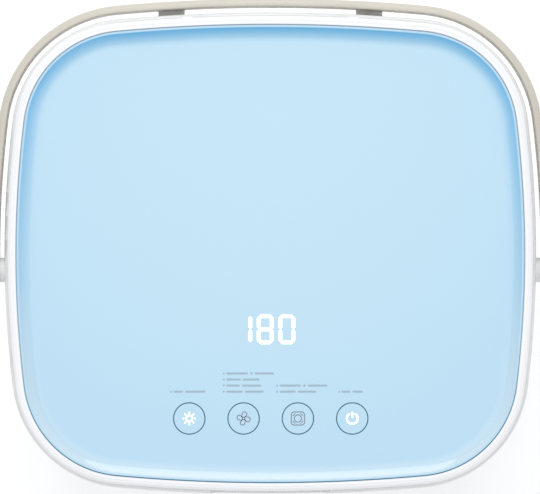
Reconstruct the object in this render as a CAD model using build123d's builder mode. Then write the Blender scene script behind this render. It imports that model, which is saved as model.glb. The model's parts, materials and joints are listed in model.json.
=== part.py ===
from build123d import *
import os
from math import atan2, cos, degrees, pi, sqrt

# Ultraviolet bottle sterilizer: a tank with a hinged touch-panel lid and a fold-back carrying handle.
# Millimetres, +Z up, front towards -Y, origin on the floor at the middle of the tank.
# "Inset" is always a distance inwards from the plan outline that the tank has at its top edge.

# ---------------------------------------------------------------- driving dimensions

# plan outline: four long bowed sides joined by corner arcs
body_width = 321.0
body_depth = 291.0
side_bow_radius = 657.0
end_bow_radius = 1018.0
corner_radius = 70.0

# tank shell
foot_height = 4.0
base_thickness = 3.0
shell_top = 219.4
wall = 2.6
base_setback = 12.0
base_edge_radius = 16.0
base_lip = 12.0
top_edge_radius = 2.0

# clearances
fit_gap = 0.4
moving_gap = 0.3
running_gap = 0.05

# base plate, foot ring and their screws
plinth_setback = 3.0
foot_inset = 36.0
foot_width = 7.0
foot_groove = 1.2
base_screw_inset = 31.5
screw_radius = 1.4
screw_head_radius = 2.6
screw_head_height = 1.2

# rim ring, inner tank of polished steel and gasket
rim_drop = 2.0
ring_thickness = 4.2
liner_inset = 24.0
liner_set_in = 6.0
liner_floor = 52.0
liner_steel = 1.0
liner_corner = 22.0
liner_flange = 6.2
gasket_width = 4.4
gasket_height = 2.6

# lid
seam = 1.0
lid_height = 32.2
lid_inset = 2.8
lid_wall = 2.6
lid_draft = 3.0
rim_round = 3.0
rim_width = 6.4
panel_gap = 0.6
panel_pocket = 8.0
ledge_width = 7.2
ledge_thickness = 2.4
panel_proud = 0.4
panel_edge_round = 0.5
dish_lip = 1.0
dish_depth = 3.6
dish_radius = 14.0
panel_thickness = 2.8
lid_plate = 2.0
plug_gap = 1.0
plug_depth = 5.3
lid_screw_inset = 11.5
lid_post_radius = 3.6

# lid hinge: the axis lies inside the lid's back edge, so the lid turns without dipping below its seam
hinge_reach = 9.0
hinge_spread = 42.0
hinge_pin_radius = 2.0
knuckle_radius = 4.2
knuckle_width = 8.0
hinge_boss_width = 6.0
hinge_side_gap = 0.6
bracket_foot_width = 24.0
bracket_leg = 6.0

# handle
handle_gap = 3.4
handle_thickness = 5.0
handle_height = 16.0
handle_end_radius = 10.0
handle_edge = 1.6
handle_pivot_y = -10.0
handle_drop = 8.4
handle_rest_spread = 60.0
pivot_radius = 4.0
pivot_head_radius = 6.2
pivot_head_thickness = 1.3
pivot_cap_thickness = 1.2

# controls, measured from the middle of the lid
display_x = -3.0
display_y = -45.4
display_width = 40.0
display_depth = 22.0
display_height = 9.0
button_y = -97.7
button_pitch = 32.3
button_count = 4
touch_pad_radius = 7.0
touch_pad_bore = 4.0
control_board_width = 150.0
control_board_depth = 96.0
control_board_y = -66.0
control_board_height = 17.0
board_thickness = 1.6
board_post_radius = 3.0
board_post_margin = 6.0

# ultraviolet lamps
lamp_length = 150.0
lamp_width = 18.0
lamp_margin = 4.0
lamp_glass = 2.0
lamp_depth = 9.0
lamp_wall = 2.0
lamp_leds = 8
led_pitch = 18.0
led_size = 3.5
led_height = 1.5
lid_lamp_spacing = 90.0
floor_lamp_y = -62.0

# drying air: filter tray, fan and heater stand over each other under the tank's floor
air_y = 48.0
fan_size = 80.0
fan_thickness = 15.0
fan_bottom = 21.0
fan_bore_radius = 37.5
fan_hub_radius = 14.0
fan_tip_gap = 1.5
fan_blades = 7
fan_blade_pitch = 38.0
fan_blade_chord = 14.0
fan_shaft_radius = 1.5
fan_spider = 2.0
heater_thickness = 10.0
heater_size = 76.0
heater_fins = 19
tray_bottom = 8.5
tray_height = 10.5
tray_wall = 2.0
filter_thickness = 6.0
vent_slot = 3.0
grille_thickness = 1.5
grille_margin = 4.0

# exhaust at the back of the tank
exhaust_drop = 47.0
exhaust_pitch = 7.0
exhaust_height = 26.0
exhaust_slots = 11

# mains inlet, a two-pin recess
inlet_x = -82.0
inlet_z = 30.0
inlet_width = 15.6
inlet_height = 8.4
inlet_depth = 14.0
inlet_wall = 2.2
inlet_proud = 1.2
inlet_pin_radius = 1.2
inlet_pin_length = 10.0
inlet_pin_spacing = 8.6

# finger notch at the front, under the lid's edge
notch_width = 72.0
notch_height = 9.0
notch_depth = 8.0

# main board
main_board_width = 104.0
main_board_depth = 66.0
main_board_y = -62.0
main_board_post = 11.0

# magnets that hold the lid down
magnet_spread = 90.0
magnet_length = 20.0
magnet_width = 5.0
magnet_thickness = 2.5
magnet_inset = 12.0

# bottle rack of steel wire
rack_inset = 37.0
rack_height = 12.0
rack_fence_height = 40.0
rack_loop_height = 46.0
rack_loop_width = 70.0
rack_loop_radius = 12.0
rack_frame_wire = 2.0
rack_wire = 1.25
rack_wire_pitch = 16.0
rack_wires = 15
rack_cross_spread = 72.0
rack_posts = 28
rack_foot_radius = 4.0

# ---------------------------------------------------------------- derived places

half_width = body_width / 2
half_depth = body_depth / 2
shell_bottom = foot_height + base_thickness
shell_height = shell_top - shell_bottom
shell_draft = degrees(atan2(base_setback, shell_height))
floor_flat_inset = base_setback + base_edge_radius
ring_top = shell_top - rim_drop
ring_bottom = ring_top - ring_thickness
liner_top = ring_top + liner_steel
liner_draft = degrees(atan2(liner_set_in, liner_top - liner_floor))
gasket_inset = liner_inset - liner_flange + fit_gap
gasket_top = liner_top + gasket_height
lid_bottom = shell_top + seam
rim_top = lid_bottom + lid_height
pocket_inset = lid_inset + rim_width
panel_inset = pocket_inset + panel_gap
panel_seat = rim_top - panel_pocket
panel_top = rim_top + panel_proud
dish_floor = panel_top - dish_depth
dish_slope = sqrt(dish_radius**2 - (dish_radius - dish_depth) ** 2)
panel_underside = dish_floor - panel_thickness
ledge_bottom = panel_seat - ledge_thickness
lid_flange_bottom = gasket_top + moving_gap
lid_flange_top = lid_flange_bottom + lid_plate
plug_inset = liner_inset + liner_steel + plug_gap
plug_bottom = lid_flange_bottom - plug_depth
plug_floor = plug_bottom + lid_plate
hinge_y = half_depth - lid_inset - hinge_reach
hinge_z = lid_bottom + hinge_reach + 0.1
handle_pivot_z = shell_top - handle_drop
pad_face = half_width + handle_gap - 0.8
fan_top = fan_bottom + fan_thickness
liner_underside = liner_floor - liner_steel
heater_bottom = fan_top + 1.0
tray_top = tray_bottom + tray_height
tray_half = fan_size / 2 + tray_wall
exhaust_z = shell_top - exhaust_drop
control_board_z = plug_floor + control_board_height
main_board_z = shell_bottom + main_board_post
rack_floor = liner_floor + rack_height
rack_rim = rack_floor + rack_fence_height
button_xs = [(i - (button_count - 1) / 2) * button_pitch for i in range(button_count)]
both_sides = (-1, 1)
upright = (Align.CENTER, Align.CENTER, Align.MIN)


def setback(z):
    """Inset of the tank's outer face at height z."""
    return base_setback * (shell_top - z) / shell_height


def end_y(x, inset):
    """Y of the outline's back arc at x."""
    return half_depth - end_bow_radius + sqrt((end_bow_radius - inset) ** 2 - x * x)


def side_x(y, inset):
    """X of the outline's right-hand arc at y."""
    return half_width - side_bow_radius + sqrt((side_bow_radius - inset) ** 2 - y * y)


def corner_centre():
    """Middle of the corner arc in the +X +Y quarter, which every inset shares."""
    side_x0 = half_width - side_bow_radius
    end_y0 = half_depth - end_bow_radius
    apart = sqrt(side_x0**2 + end_y0**2)
    to_side = side_bow_radius - corner_radius
    to_end = end_bow_radius - corner_radius
    along = (to_side**2 - to_end**2 + apart**2) / (2 * apart)
    across = sqrt(to_side**2 - along**2)
    ux = -side_x0 / apart
    uy = end_y0 / apart
    return side_x0 + along * ux - across * uy, along * uy + across * ux


def corner_points(inset):
    """The outline's four corner points, half way round each corner arc."""
    x, y = corner_centre()
    reach = (corner_radius - inset) * cos(pi / 4)
    return [(sx * (x + reach), sy * (y + reach)) for sx in both_sides for sy in both_sides]


def edge_y(x, inset):
    """Y where the line at x meets the outline's back arc or corner."""
    cx, cy = corner_centre()
    meet = cx * (end_bow_radius - inset) / (end_bow_radius - corner_radius)
    if abs(x) < meet:
        return end_y(x, inset)
    return cy + sqrt((corner_radius - inset) ** 2 - (abs(x) - cx) ** 2)


def outline(inset):
    """Plan outline as a sketch: four bowed sides, and corners rounded about fixed centres."""
    with BuildSketch(mode=Mode.PRIVATE) as sketch:
        with Locations((side_bow_radius - half_width, 0)):
            Circle(side_bow_radius - inset)
        with Locations(Location((half_width - side_bow_radius, 0, 0), (0, 0, 180))):
            Circle(side_bow_radius - inset, mode=Mode.INTERSECT)
        for side in both_sides:
            with Locations((0, side * (end_bow_radius - half_depth))):
                Circle(end_bow_radius - inset, mode=Mode.INTERSECT)
        fillet(sketch.vertices(), corner_radius - inset)
    return sketch.sketch


def outline_block(inset, bottom, top, mode=Mode.ADD, taper=0.0):
    """Adds or cuts the outline's prism between two heights, inside the open part."""
    with BuildSketch(Plane.XY.offset(bottom)) as section:
        add(outline(inset))
    extrude(section.sketch, amount=top - bottom, taper=taper, mode=mode)


def box_between(low, high, mode=Mode.ADD):
    """Adds or cuts the box with these two corners, inside the open part."""
    with Locations(tuple((a + b) / 2 for a, b in zip(low, high))):
        Box(*[b - a for a, b in zip(low, high)], mode=mode)


def rod(start, end, radius, mode=Mode.ADD):
    """Adds or cuts a straight round rod between two points, inside the open part."""
    run = Vector(*end) - Vector(*start)
    with BuildSketch(Plane(origin=start, z_dir=run)) as section:
        Circle(radius)
    extrude(section.sketch, amount=run.length, mode=mode)


def slot_row(centre_x, centre_y, pitch, count, length, bottom, top):
    """Cuts a row of slots that run along Y, inside the open part."""
    with BuildSketch(Plane.XY.offset(bottom)) as section:
        with Locations((centre_x, centre_y)):
            with GridLocations(pitch, 1, count, 1):
                SlotOverall(length, vent_slot, rotation=90)
    extrude(section.sketch, amount=top - bottom, mode=Mode.SUBTRACT)


def post(x, y, radius, bottom, top, mode=Mode.ADD):
    """Adds or cuts an upright round post, inside the open part."""
    with Locations((x, y, bottom)):
        Cylinder(radius, top - bottom, align=upright, mode=mode)


def flat_block(x, y, width, depth, bottom, top, mode=Mode.ADD):
    """Adds or cuts an upright rectangular block, inside the open part."""
    with Locations((x, y, bottom)):
        Box(width, depth, top - bottom, align=upright, mode=mode)


os.makedirs("parts", exist_ok=True)


def finish(builder, name):
    """Labels a finished piece and writes it."""
    builder.part.label = name
    export_step(builder.part, f"parts/{name}.step")


# ---------------------------------------------------------------- shared forms

with BuildPart() as tank_form:
    outline_block(base_setback, shell_bottom, shell_top, taper=-shell_draft)
    fillet(tank_form.edges().group_by(Axis.Z)[0], base_edge_radius)

with BuildPart() as tank_core:
    outline_block(base_setback + wall, shell_bottom + wall, shell_top + wall, taper=-shell_draft)
    fillet(tank_core.edges().group_by(Axis.Z)[0], base_edge_radius - wall)

# what a piece at the lid's back edge has to lose to turn about the hinge
with BuildPart() as swing_cut:
    box_between((-body_width, hinge_y, plug_bottom - 1), (body_width, body_depth, hinge_z))
    rod((-body_width, hinge_y, hinge_z), (body_width, hinge_y, hinge_z), hinge_reach, mode=Mode.SUBTRACT)

hinge_xs = [side * hinge_spread for side in both_sides]
hinge_notch = knuckle_width / 2 + hinge_side_gap

handle_face = side_x(handle_pivot_y, -handle_gap - handle_thickness)
bore_floor = handle_face - pivot_head_thickness - pivot_cap_thickness - 2 * moving_gap - 0.1
bolt_end = side_x(handle_pivot_y, setback(handle_pivot_z)) - wall - 4
clip_radius = pivot_radius + 2.5


def cut_for_hinge():
    """Cuts the back edge and the two hinge notches out of a lid piece, inside the open part."""
    add(swing_cut.part, mode=Mode.SUBTRACT)
    room = knuckle_radius + hinge_side_gap
    for x in hinge_xs:
        box_between((x - hinge_notch, hinge_y - room, plug_bottom - 1),
                    (x + hinge_notch, body_depth, hinge_z + room), mode=Mode.SUBTRACT)


# ---------------------------------------------------------------- tank: outer shell and base

notch_floor = shell_top - notch_height

with BuildPart() as outer_shell:
    add(tank_form.part)
    fillet(outer_shell.edges().group_by(Axis.Z)[-1], top_edge_radius)
    add(tank_core.part, mode=Mode.SUBTRACT)
    outline_block(floor_flat_inset + base_lip, 0, shell_bottom + wall + 1, mode=Mode.SUBTRACT)
    for x, y in corner_points(base_screw_inset):
        post(x, y, 4.2, shell_bottom, shell_bottom + 12)
        post(x, y, screw_radius, shell_bottom, shell_bottom + 10, mode=Mode.SUBTRACT)
    # pads that carry the handle's pivots
    for side in both_sides:
        inner = side_x(handle_pivot_y, setback(handle_pivot_z)) - wall / 2
        rod((side * inner, handle_pivot_y, handle_pivot_z),
            (side * pad_face, handle_pivot_y, handle_pivot_z), 7.5)
        rod((0, handle_pivot_y, handle_pivot_z),
            (side * body_width, handle_pivot_y, handle_pivot_z), pivot_radius, mode=Mode.SUBTRACT)
    # ledges that the folded handle comes to rest on
    rest_top = handle_pivot_z - handle_height / 2 - moving_gap
    for side in both_sides:
        x = side * handle_rest_spread
        y = end_y(x, setback(rest_top)) - wall / 2
        box_between((x - 8, y, rest_top - 3), (x + 8, y + wall / 2 + handle_gap + 3.5, rest_top))
    # closed pocket behind the finger notch, then the notch itself
    box_between((-notch_width / 2 - wall, wall - half_depth, notch_floor - wall),
                (notch_width / 2 + wall, notch_depth + wall - half_depth, ring_top))
    with BuildSketch(Plane.XZ.offset(half_depth + 5)):
        with Locations((0, shell_top)):
            RectangleRounded(notch_width, 2 * notch_height, notch_height - 1)
    extrude(amount=-(5 + notch_depth), mode=Mode.SUBTRACT)
    # opening of the filter tray
    box_between((-tray_half - fit_gap, air_y, tray_bottom - fit_gap),
                (tray_half + fit_gap, body_depth, tray_top + fit_gap), mode=Mode.SUBTRACT)
    # exhaust slots
    with BuildSketch(Plane.XZ.offset(-half_depth)):
        with Locations((0, exhaust_z)):
            with GridLocations(exhaust_pitch, 1, exhaust_slots, 1):
                SlotOverall(exhaust_height, vent_slot, rotation=90)
    extrude(amount=half_depth / 2, mode=Mode.SUBTRACT)
    # mains inlet window
    half_w = inlet_width / 2 + inlet_wall
    half_h = inlet_height / 2 + inlet_wall
    box_between((inlet_x - half_w, half_depth / 2, inlet_z - half_h),
                (inlet_x + half_w, body_depth, inlet_z + half_h), mode=Mode.SUBTRACT)
finish(outer_shell, "outer_shell")

board_post_xs = [side * (main_board_width / 2 - board_post_margin) for side in both_sides]
board_post_ys = [main_board_y + side * (main_board_depth / 2 - board_post_margin) for side in both_sides]

with BuildPart() as base_plate:
    outline_block(floor_flat_inset - plinth_setback, foot_height, shell_bottom)
    fillet(base_plate.edges().group_by(Axis.Z)[0], 1.5)
    outline_block(foot_inset, foot_height, foot_height + foot_groove, mode=Mode.SUBTRACT)
    outline_block(foot_inset + foot_width, foot_height, foot_height + foot_groove)
    slot_row(0, air_y, 2 * vent_slot, 12, fan_size - 8, foot_height, shell_bottom)
    for x, y in corner_points(base_screw_inset):
        post(x, y, screw_radius, foot_height, shell_bottom, mode=Mode.SUBTRACT)
        post(x, y, screw_head_radius, foot_height, foot_height + screw_head_height, mode=Mode.SUBTRACT)
    for x in board_post_xs:
        for y in board_post_ys:
            post(x, y, board_post_radius, shell_bottom, main_board_z)
    # runners under the filter tray
    for side in both_sides:
        box_between((side * tray_half * 0.8 - 2, air_y - tray_half, shell_bottom),
                    (side * tray_half * 0.8 + 2, air_y + tray_half, tray_bottom - moving_gap))
finish(base_plate, "base_plate")

with BuildPart() as foot_ring:
    outline_block(foot_inset, 0, foot_height + foot_groove)
    outline_block(foot_inset + foot_width, 0, foot_height + foot_groove, mode=Mode.SUBTRACT)
    fillet(foot_ring.edges().group_by(Axis.Z)[0], 1.2)
finish(foot_ring, "foot_ring")

with BuildPart() as base_screws:
    for x, y in corner_points(base_screw_inset):
        post(x, y, screw_head_radius, foot_height, foot_height + screw_head_height)
        post(x, y, screw_radius, foot_height, shell_bottom + 9)
finish(base_screws, "base_screws")

# ---------------------------------------------------------------- tank: rim ring, liner and gasket

bracket_foot_top = ring_top + rim_drop
bracket_screws_at = [(x + side * bracket_foot_width / 3, hinge_y) for x in hinge_xs for side in both_sides]
magnets_at = [(side * magnet_spread, -end_y(magnet_spread, magnet_inset)) for side in both_sides]

with BuildPart() as rim_ring:
    add(tank_core.part)
    box_between((-body_width, -body_depth, ring_bottom), (body_width, body_depth, ring_top),
                mode=Mode.INTERSECT)
    outline_block(liner_inset, ring_bottom, ring_top, mode=Mode.SUBTRACT)
    # room for the finger notch's pocket
    box_between((-notch_width / 2 - wall - fit_gap, -body_depth, ring_bottom),
                (notch_width / 2 + wall + fit_gap, notch_depth + wall + fit_gap - half_depth, ring_top),
                mode=Mode.SUBTRACT)
    for x, y in magnets_at:
        flat_block(x, y, magnet_length, magnet_width, ring_top - magnet_thickness, ring_top,
                   mode=Mode.SUBTRACT)
    for x, y in bracket_screws_at:
        post(x, y, screw_radius, ring_bottom, ring_top, mode=Mode.SUBTRACT)
    # room for the handle's bolts and clips
    for side in both_sides:
        rod((side * (bolt_end - fit_gap), handle_pivot_y, handle_pivot_z),
            (side * body_width, handle_pivot_y, handle_pivot_z), clip_radius + fit_gap,
            mode=Mode.SUBTRACT)
finish(rim_ring, "rim_ring")

liner_bottom_inset = liner_inset + liner_set_in

with BuildPart() as liner_hollow:
    outline_block(liner_bottom_inset + liner_steel, liner_floor, liner_top + liner_steel, taper=-liner_draft)
    fillet(liner_hollow.edges().group_by(Axis.Z)[0], liner_corner - liner_steel)

with BuildPart() as inner_liner:
    outline_block(liner_bottom_inset, liner_underside, liner_top, taper=-liner_draft)
    fillet(inner_liner.edges().group_by(Axis.Z)[0], liner_corner)
    outline_block(liner_inset - liner_flange, ring_top, liner_top)
    add(liner_hollow.part, mode=Mode.SUBTRACT)
    # openings in the floor for warm air and for the lamp
    grille_opening = fan_size - 2 * grille_margin
    flat_block(0, air_y, grille_opening, grille_opening, liner_underside, liner_floor, mode=Mode.SUBTRACT)
    flat_block(0, floor_lamp_y, lamp_length, lamp_width, liner_underside, liner_floor, mode=Mode.SUBTRACT)
    # outlet for damp air in the back wall
    with BuildSketch(Plane.XZ.offset(-half_depth)):
        with Locations((0, exhaust_z)):
            with GridLocations(exhaust_pitch, 1, exhaust_slots, 1):
                SlotOverall(exhaust_height, vent_slot, rotation=90)
    extrude(amount=half_depth / 2, mode=Mode.SUBTRACT)
finish(inner_liner, "inner_liner")

with BuildPart() as lid_gasket:
    outline_block(gasket_inset, liner_top, gasket_top)
    outline_block(gasket_inset + gasket_width, liner_top, gasket_top, mode=Mode.SUBTRACT)
    fillet(lid_gasket.edges().group_by(Axis.Z)[-1], 1.4)
finish(lid_gasket, "lid_gasket")

# ---------------------------------------------------------------- ultraviolet lamps


def lamp_places(centres):
    """Places of the lamp's light-emitting chips for lamps at these centres."""
    return [(x + (i - (lamp_leds - 1) / 2) * led_pitch, y) for x, y in centres for i in range(lamp_leds)]


def lamp_slab(centres, face, up, start, end, margin, mode=Mode.ADD):
    """Adds or cuts one slab per lamp, between two distances behind the face of its window."""
    low, high = sorted((face + up * start, face + up * end))
    for x, y in centres:
        flat_block(x, y, lamp_length + 2 * margin, lamp_width + 2 * margin, low, high, mode=mode)


def build_lamps(prefix, centres, face, up):
    """Writes the housing, glass, board and chips of a set of lamps behind a window face."""
    back = lamp_glass + lamp_depth
    with BuildPart() as housing:
        lamp_slab(centres, face, up, 0, back, lamp_margin + lamp_wall)
        lamp_slab(centres, face, up, 0, back - lamp_wall, lamp_margin, mode=Mode.SUBTRACT)
    finish(housing, prefix + "_lamp_housing")
    with BuildPart() as window:
        lamp_slab(centres, face, up, 0, lamp_glass, lamp_margin)
    finish(window, prefix + "_lamp_window")
    board_back = back - lamp_wall
    board_front = board_back - board_thickness
    with BuildPart() as board:
        lamp_slab(centres, face, up, board_front, board_back, lamp_margin - fit_gap)
    finish(board, prefix + "_lamp_board")
    low, high = sorted((face + up * (board_front - led_height), face + up * board_front))
    with BuildPart() as leds:
        for x, y in lamp_places(centres):
            flat_block(x, y, led_size, led_size, low, high)
    finish(leds, prefix + "_lamp_leds")


lid_lamps = [(0, side * lid_lamp_spacing / 2) for side in both_sides]
floor_lamps = [(0, floor_lamp_y)]
build_lamps("floor", floor_lamps, liner_underside, -1)
build_lamps("lid", lid_lamps, plug_floor, 1)

# ---------------------------------------------------------------- tank: drying air

with BuildPart() as floor_grille:
    flat_block(0, air_y, fan_size, fan_size, liner_floor, liner_floor + grille_thickness)
    slot_row(0, air_y, 2 * vent_slot, 11, fan_size - 3 * grille_margin, liner_floor,
             liner_floor + grille_thickness)
finish(floor_grille, "floor_grille")

with BuildPart() as air_duct:
    flat_block(0, air_y, fan_size, fan_size, fan_top, liner_underside)
    flat_block(0, air_y, heater_size, heater_size, fan_top, liner_underside, mode=Mode.SUBTRACT)
finish(air_duct, "air_duct")

with BuildPart() as heater:
    flat_block(0, air_y, heater_size, heater_size, heater_bottom, heater_bottom + heater_thickness)
    with BuildSketch(Plane.XY.offset(heater_bottom)):
        with Locations((0, air_y)):
            with GridLocations((heater_size - 2) / heater_fins, heater_size / 3, heater_fins, 3):
                Rectangle((heater_size - 2) / heater_fins - 0.8, heater_size / 3 - 3)
    extrude(amount=heater_thickness, mode=Mode.SUBTRACT)
finish(heater, "heater")

thermostat_z = (fan_top + liner_underside) / 2

with BuildPart() as thermostat:
    rod((20, air_y - fan_size / 2, thermostat_z), (20, air_y - fan_size / 2 - 5, thermostat_z), 6)
finish(thermostat, "thermostat")

stator_radius = fan_hub_radius - 1.5 - 2 * moving_gap
bearing_radius = fan_shaft_radius + 3

with BuildPart() as fan_frame:
    flat_block(0, air_y, fan_size, fan_size, fan_bottom, fan_top)
    fillet(fan_frame.edges().filter_by(Axis.Z), 4)
    post(0, air_y, fan_bore_radius, fan_bottom, fan_top, mode=Mode.SUBTRACT)
    for angle in (45, 135, 225, 315):
        with Locations(Location((0, air_y, fan_bottom), (0, 0, angle))):
            Box(fan_bore_radius + 1, 4, fan_spider, align=(Align.MIN, Align.CENTER, Align.MIN))
    post(0, air_y, fan_hub_radius - 1, fan_bottom, fan_bottom + fan_spider)
    post(0, air_y, bearing_radius, fan_bottom, fan_top - 4)
    post(0, air_y, fan_shaft_radius + running_gap, fan_bottom, fan_top, mode=Mode.SUBTRACT)
    with Locations((0, air_y, fan_bottom)):
        with GridLocations(fan_size - 9, fan_size - 9, 2, 2):
            Cylinder(2.2, fan_thickness, align=upright, mode=Mode.SUBTRACT)
finish(fan_frame, "fan_frame")

with BuildPart() as fan_stator:
    post(0, air_y, stator_radius, fan_bottom + fan_spider, fan_top - 5)
    post(0, air_y, bearing_radius, fan_bottom + fan_spider, fan_top - 5, mode=Mode.SUBTRACT)
finish(fan_stator, "fan_stator")

rotor_bottom = fan_bottom + fan_spider + 2 * moving_gap
rotor_top = fan_top - 1
rotor_middle = (rotor_bottom + rotor_top) / 2

with BuildPart() as fan_rotor:
    blade_tip = fan_bore_radius - fan_tip_gap
    for i in range(fan_blades):
        turn = 360 * i / fan_blades
        with Locations(Location((0, air_y, rotor_middle), (0, 0, turn))):
            with Locations(Location((0, 0, 0), (fan_blade_pitch, 0, 0))):
                Box(blade_tip + 2, fan_blade_chord, 1.6, align=(Align.MIN, Align.CENTER, Align.CENTER))
    with Locations((0, air_y, rotor_bottom)):
        Cylinder(blade_tip, rotor_top - rotor_bottom, align=upright, mode=Mode.INTERSECT)
    post(0, air_y, fan_hub_radius, rotor_bottom, rotor_top)
    post(0, air_y, fan_hub_radius - 1.5, rotor_bottom, rotor_top - 2, mode=Mode.SUBTRACT)
    post(0, air_y, fan_shaft_radius, fan_bottom + 1, rotor_top)
    fillet(fan_rotor.edges().group_by(Axis.Z)[-1].filter_by(GeomType.CIRCLE).sort_by(Edge.radius)[-1:], 0.8)
finish(fan_rotor, "fan_rotor")

tray_front = air_y - tray_half
filter_size = fan_size - 4.0

with BuildPart() as filter_tray:
    add(tank_form.part)
    box_between((-tray_half, tray_front, tray_bottom), (tray_half, body_depth, tray_top),
                mode=Mode.INTERSECT)
    pull_y = end_y(0, setback(tray_bottom)) - 6
    box_between((-tray_half + tray_wall, tray_front + tray_wall, tray_bottom + tray_wall),
                (tray_half - tray_wall, pull_y - 8, tray_top), mode=Mode.SUBTRACT)
    slot_row(0, air_y, 2 * vent_slot, 12, filter_size - 8, tray_bottom, tray_bottom + tray_wall)
    rod((-18, pull_y + 6, tray_bottom + 2), (18, pull_y + 6, tray_bottom + 2), 7, mode=Mode.SUBTRACT)
finish(filter_tray, "filter_tray")

with BuildPart() as filter_pad:
    flat_block(0, air_y, filter_size, filter_size, tray_bottom + tray_wall,
               tray_bottom + tray_wall + filter_thickness)
finish(filter_pad, "filter_pad")

# ---------------------------------------------------------------- tank: electrics

with BuildPart() as main_board:
    flat_block(0, main_board_y, main_board_width, main_board_depth, main_board_z,
               main_board_z + board_thickness)
finish(main_board, "main_board")

board_face = main_board_z + board_thickness

with BuildPart() as board_components:
    flat_block(-32, main_board_y + 8, 26, 22, board_face, board_face + 17)
    flat_block(30, main_board_y + 14, 18, 12, board_face, board_face + 14)
    for x in (-6, 6):
        post(x, main_board_y - 12, 5, board_face, board_face + 14)
    flat_block(30, main_board_y - 12, 14, 14, board_face, board_face + 2)
finish(board_components, "board_components")

inlet_face = end_y(inlet_x, setback(inlet_z)) + inlet_proud
inlet_back = inlet_face - inlet_depth

with BuildPart() as mains_inlet:
    box_between((inlet_x - half_w, inlet_back - inlet_wall, inlet_z - half_h),
                (inlet_x + half_w, inlet_face, inlet_z + half_h))
    with BuildSketch(Plane.XZ.offset(-inlet_face)):
        with Locations((inlet_x, inlet_z)):
            SlotOverall(inlet_width, inlet_height)
    extrude(amount=inlet_depth, mode=Mode.SUBTRACT)
    pin_x = inlet_pin_spacing / 2
    for side in both_sides:
        rod((inlet_x + side * pin_x, inlet_back - 6, inlet_z),
            (inlet_x + side * pin_x, inlet_back, inlet_z), inlet_pin_radius, mode=Mode.SUBTRACT)
finish(mains_inlet, "mains_inlet")

with BuildPart() as inlet_pins:
    for side in both_sides:
        rod((inlet_x + side * pin_x, inlet_back - 6, inlet_z),
            (inlet_x + side * pin_x, inlet_back + inlet_pin_length, inlet_z), inlet_pin_radius)
    fillet(inlet_pins.edges().group_by(Axis.Y)[-1], 0.8)
finish(inlet_pins, "inlet_pins")

# ---------------------------------------------------------------- tank: hinge brackets, pivots, magnets

with BuildPart() as hinge_brackets:
    for x in hinge_xs:
        box_between((x - bracket_foot_width / 2, hinge_y - 5, ring_top),
                    (x + bracket_foot_width / 2, hinge_y + 5, bracket_foot_top))
        box_between((x - knuckle_width / 2, hinge_y - bracket_leg / 2, ring_top),
                    (x + knuckle_width / 2, hinge_y + bracket_leg / 2, hinge_z))
        rod((x - knuckle_width / 2, hinge_y, hinge_z), (x + knuckle_width / 2, hinge_y, hinge_z),
            knuckle_radius)
        rod((x - knuckle_width, hinge_y, hinge_z), (x + knuckle_width, hinge_y, hinge_z),
            hinge_pin_radius + running_gap, mode=Mode.SUBTRACT)
    for x, y in bracket_screws_at:
        post(x, y, screw_head_radius, bracket_foot_top - 1, bracket_foot_top, mode=Mode.SUBTRACT)
        post(x, y, screw_radius, ring_top, bracket_foot_top, mode=Mode.SUBTRACT)
finish(hinge_brackets, "hinge_brackets")

with BuildPart() as bracket_screws:
    for x, y in bracket_screws_at:
        post(x, y, screw_head_radius, bracket_foot_top - 1, bracket_foot_top)
        post(x, y, screw_radius, ring_bottom, bracket_foot_top - 1)
finish(bracket_screws, "bracket_screws")

with BuildPart() as tank_magnets:
    for x, y in magnets_at:
        flat_block(x, y, magnet_length, magnet_width, ring_top - magnet_thickness, ring_top)
finish(tank_magnets, "tank_magnets")

with BuildPart() as pivot_bolts:
    for side in both_sides:
        head = bore_floor + moving_gap
        rod((side * bolt_end, handle_pivot_y, handle_pivot_z),
            (side * head, handle_pivot_y, handle_pivot_z), pivot_radius)
        rod((side * head, handle_pivot_y, handle_pivot_z),
            (side * (head + pivot_head_thickness), handle_pivot_y, handle_pivot_z), pivot_head_radius)
finish(pivot_bolts, "pivot_bolts")

with BuildPart() as pivot_clips:
    for side in both_sides:
        rod((side * (bolt_end + 1), handle_pivot_y, handle_pivot_z),
            (side * (bolt_end + 4 - wall / 4), handle_pivot_y, handle_pivot_z), clip_radius)
        rod((0, handle_pivot_y, handle_pivot_z), (side * body_width, handle_pivot_y, handle_pivot_z),
            pivot_radius, mode=Mode.SUBTRACT)
    add(outer_shell.part, mode=Mode.SUBTRACT)
finish(pivot_clips, "pivot_clips")

# ---------------------------------------------------------------- handle

with BuildPart() as handle:
    outline_block(-handle_gap - handle_thickness, handle_pivot_z - handle_end_radius,
                  handle_pivot_z + handle_end_radius)
    outline_block(-handle_gap, handle_pivot_z - handle_end_radius, handle_pivot_z + handle_end_radius,
                  mode=Mode.SUBTRACT)
    with BuildSketch(Plane.YZ.offset(-body_width)):
        with Locations((handle_pivot_y, handle_pivot_z)):
            Rectangle(body_depth, handle_height, align=(Align.MIN, Align.CENTER))
            Circle(handle_end_radius)
    extrude(amount=2 * body_width, mode=Mode.INTERSECT)
    fillet(handle.edges().filter_by(GeomType.LINE, reverse=True).filter_by(
        lambda edge: edge.length > 20), handle_edge)
    for side in both_sides:
        rod((side * bore_floor, handle_pivot_y, handle_pivot_z),
            (side * body_width, handle_pivot_y, handle_pivot_z),
            pivot_head_radius + moving_gap, mode=Mode.SUBTRACT)
        rod((0, handle_pivot_y, handle_pivot_z), (side * body_width, handle_pivot_y, handle_pivot_z),
            pivot_radius + running_gap, mode=Mode.SUBTRACT)
finish(handle, "handle")

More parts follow.
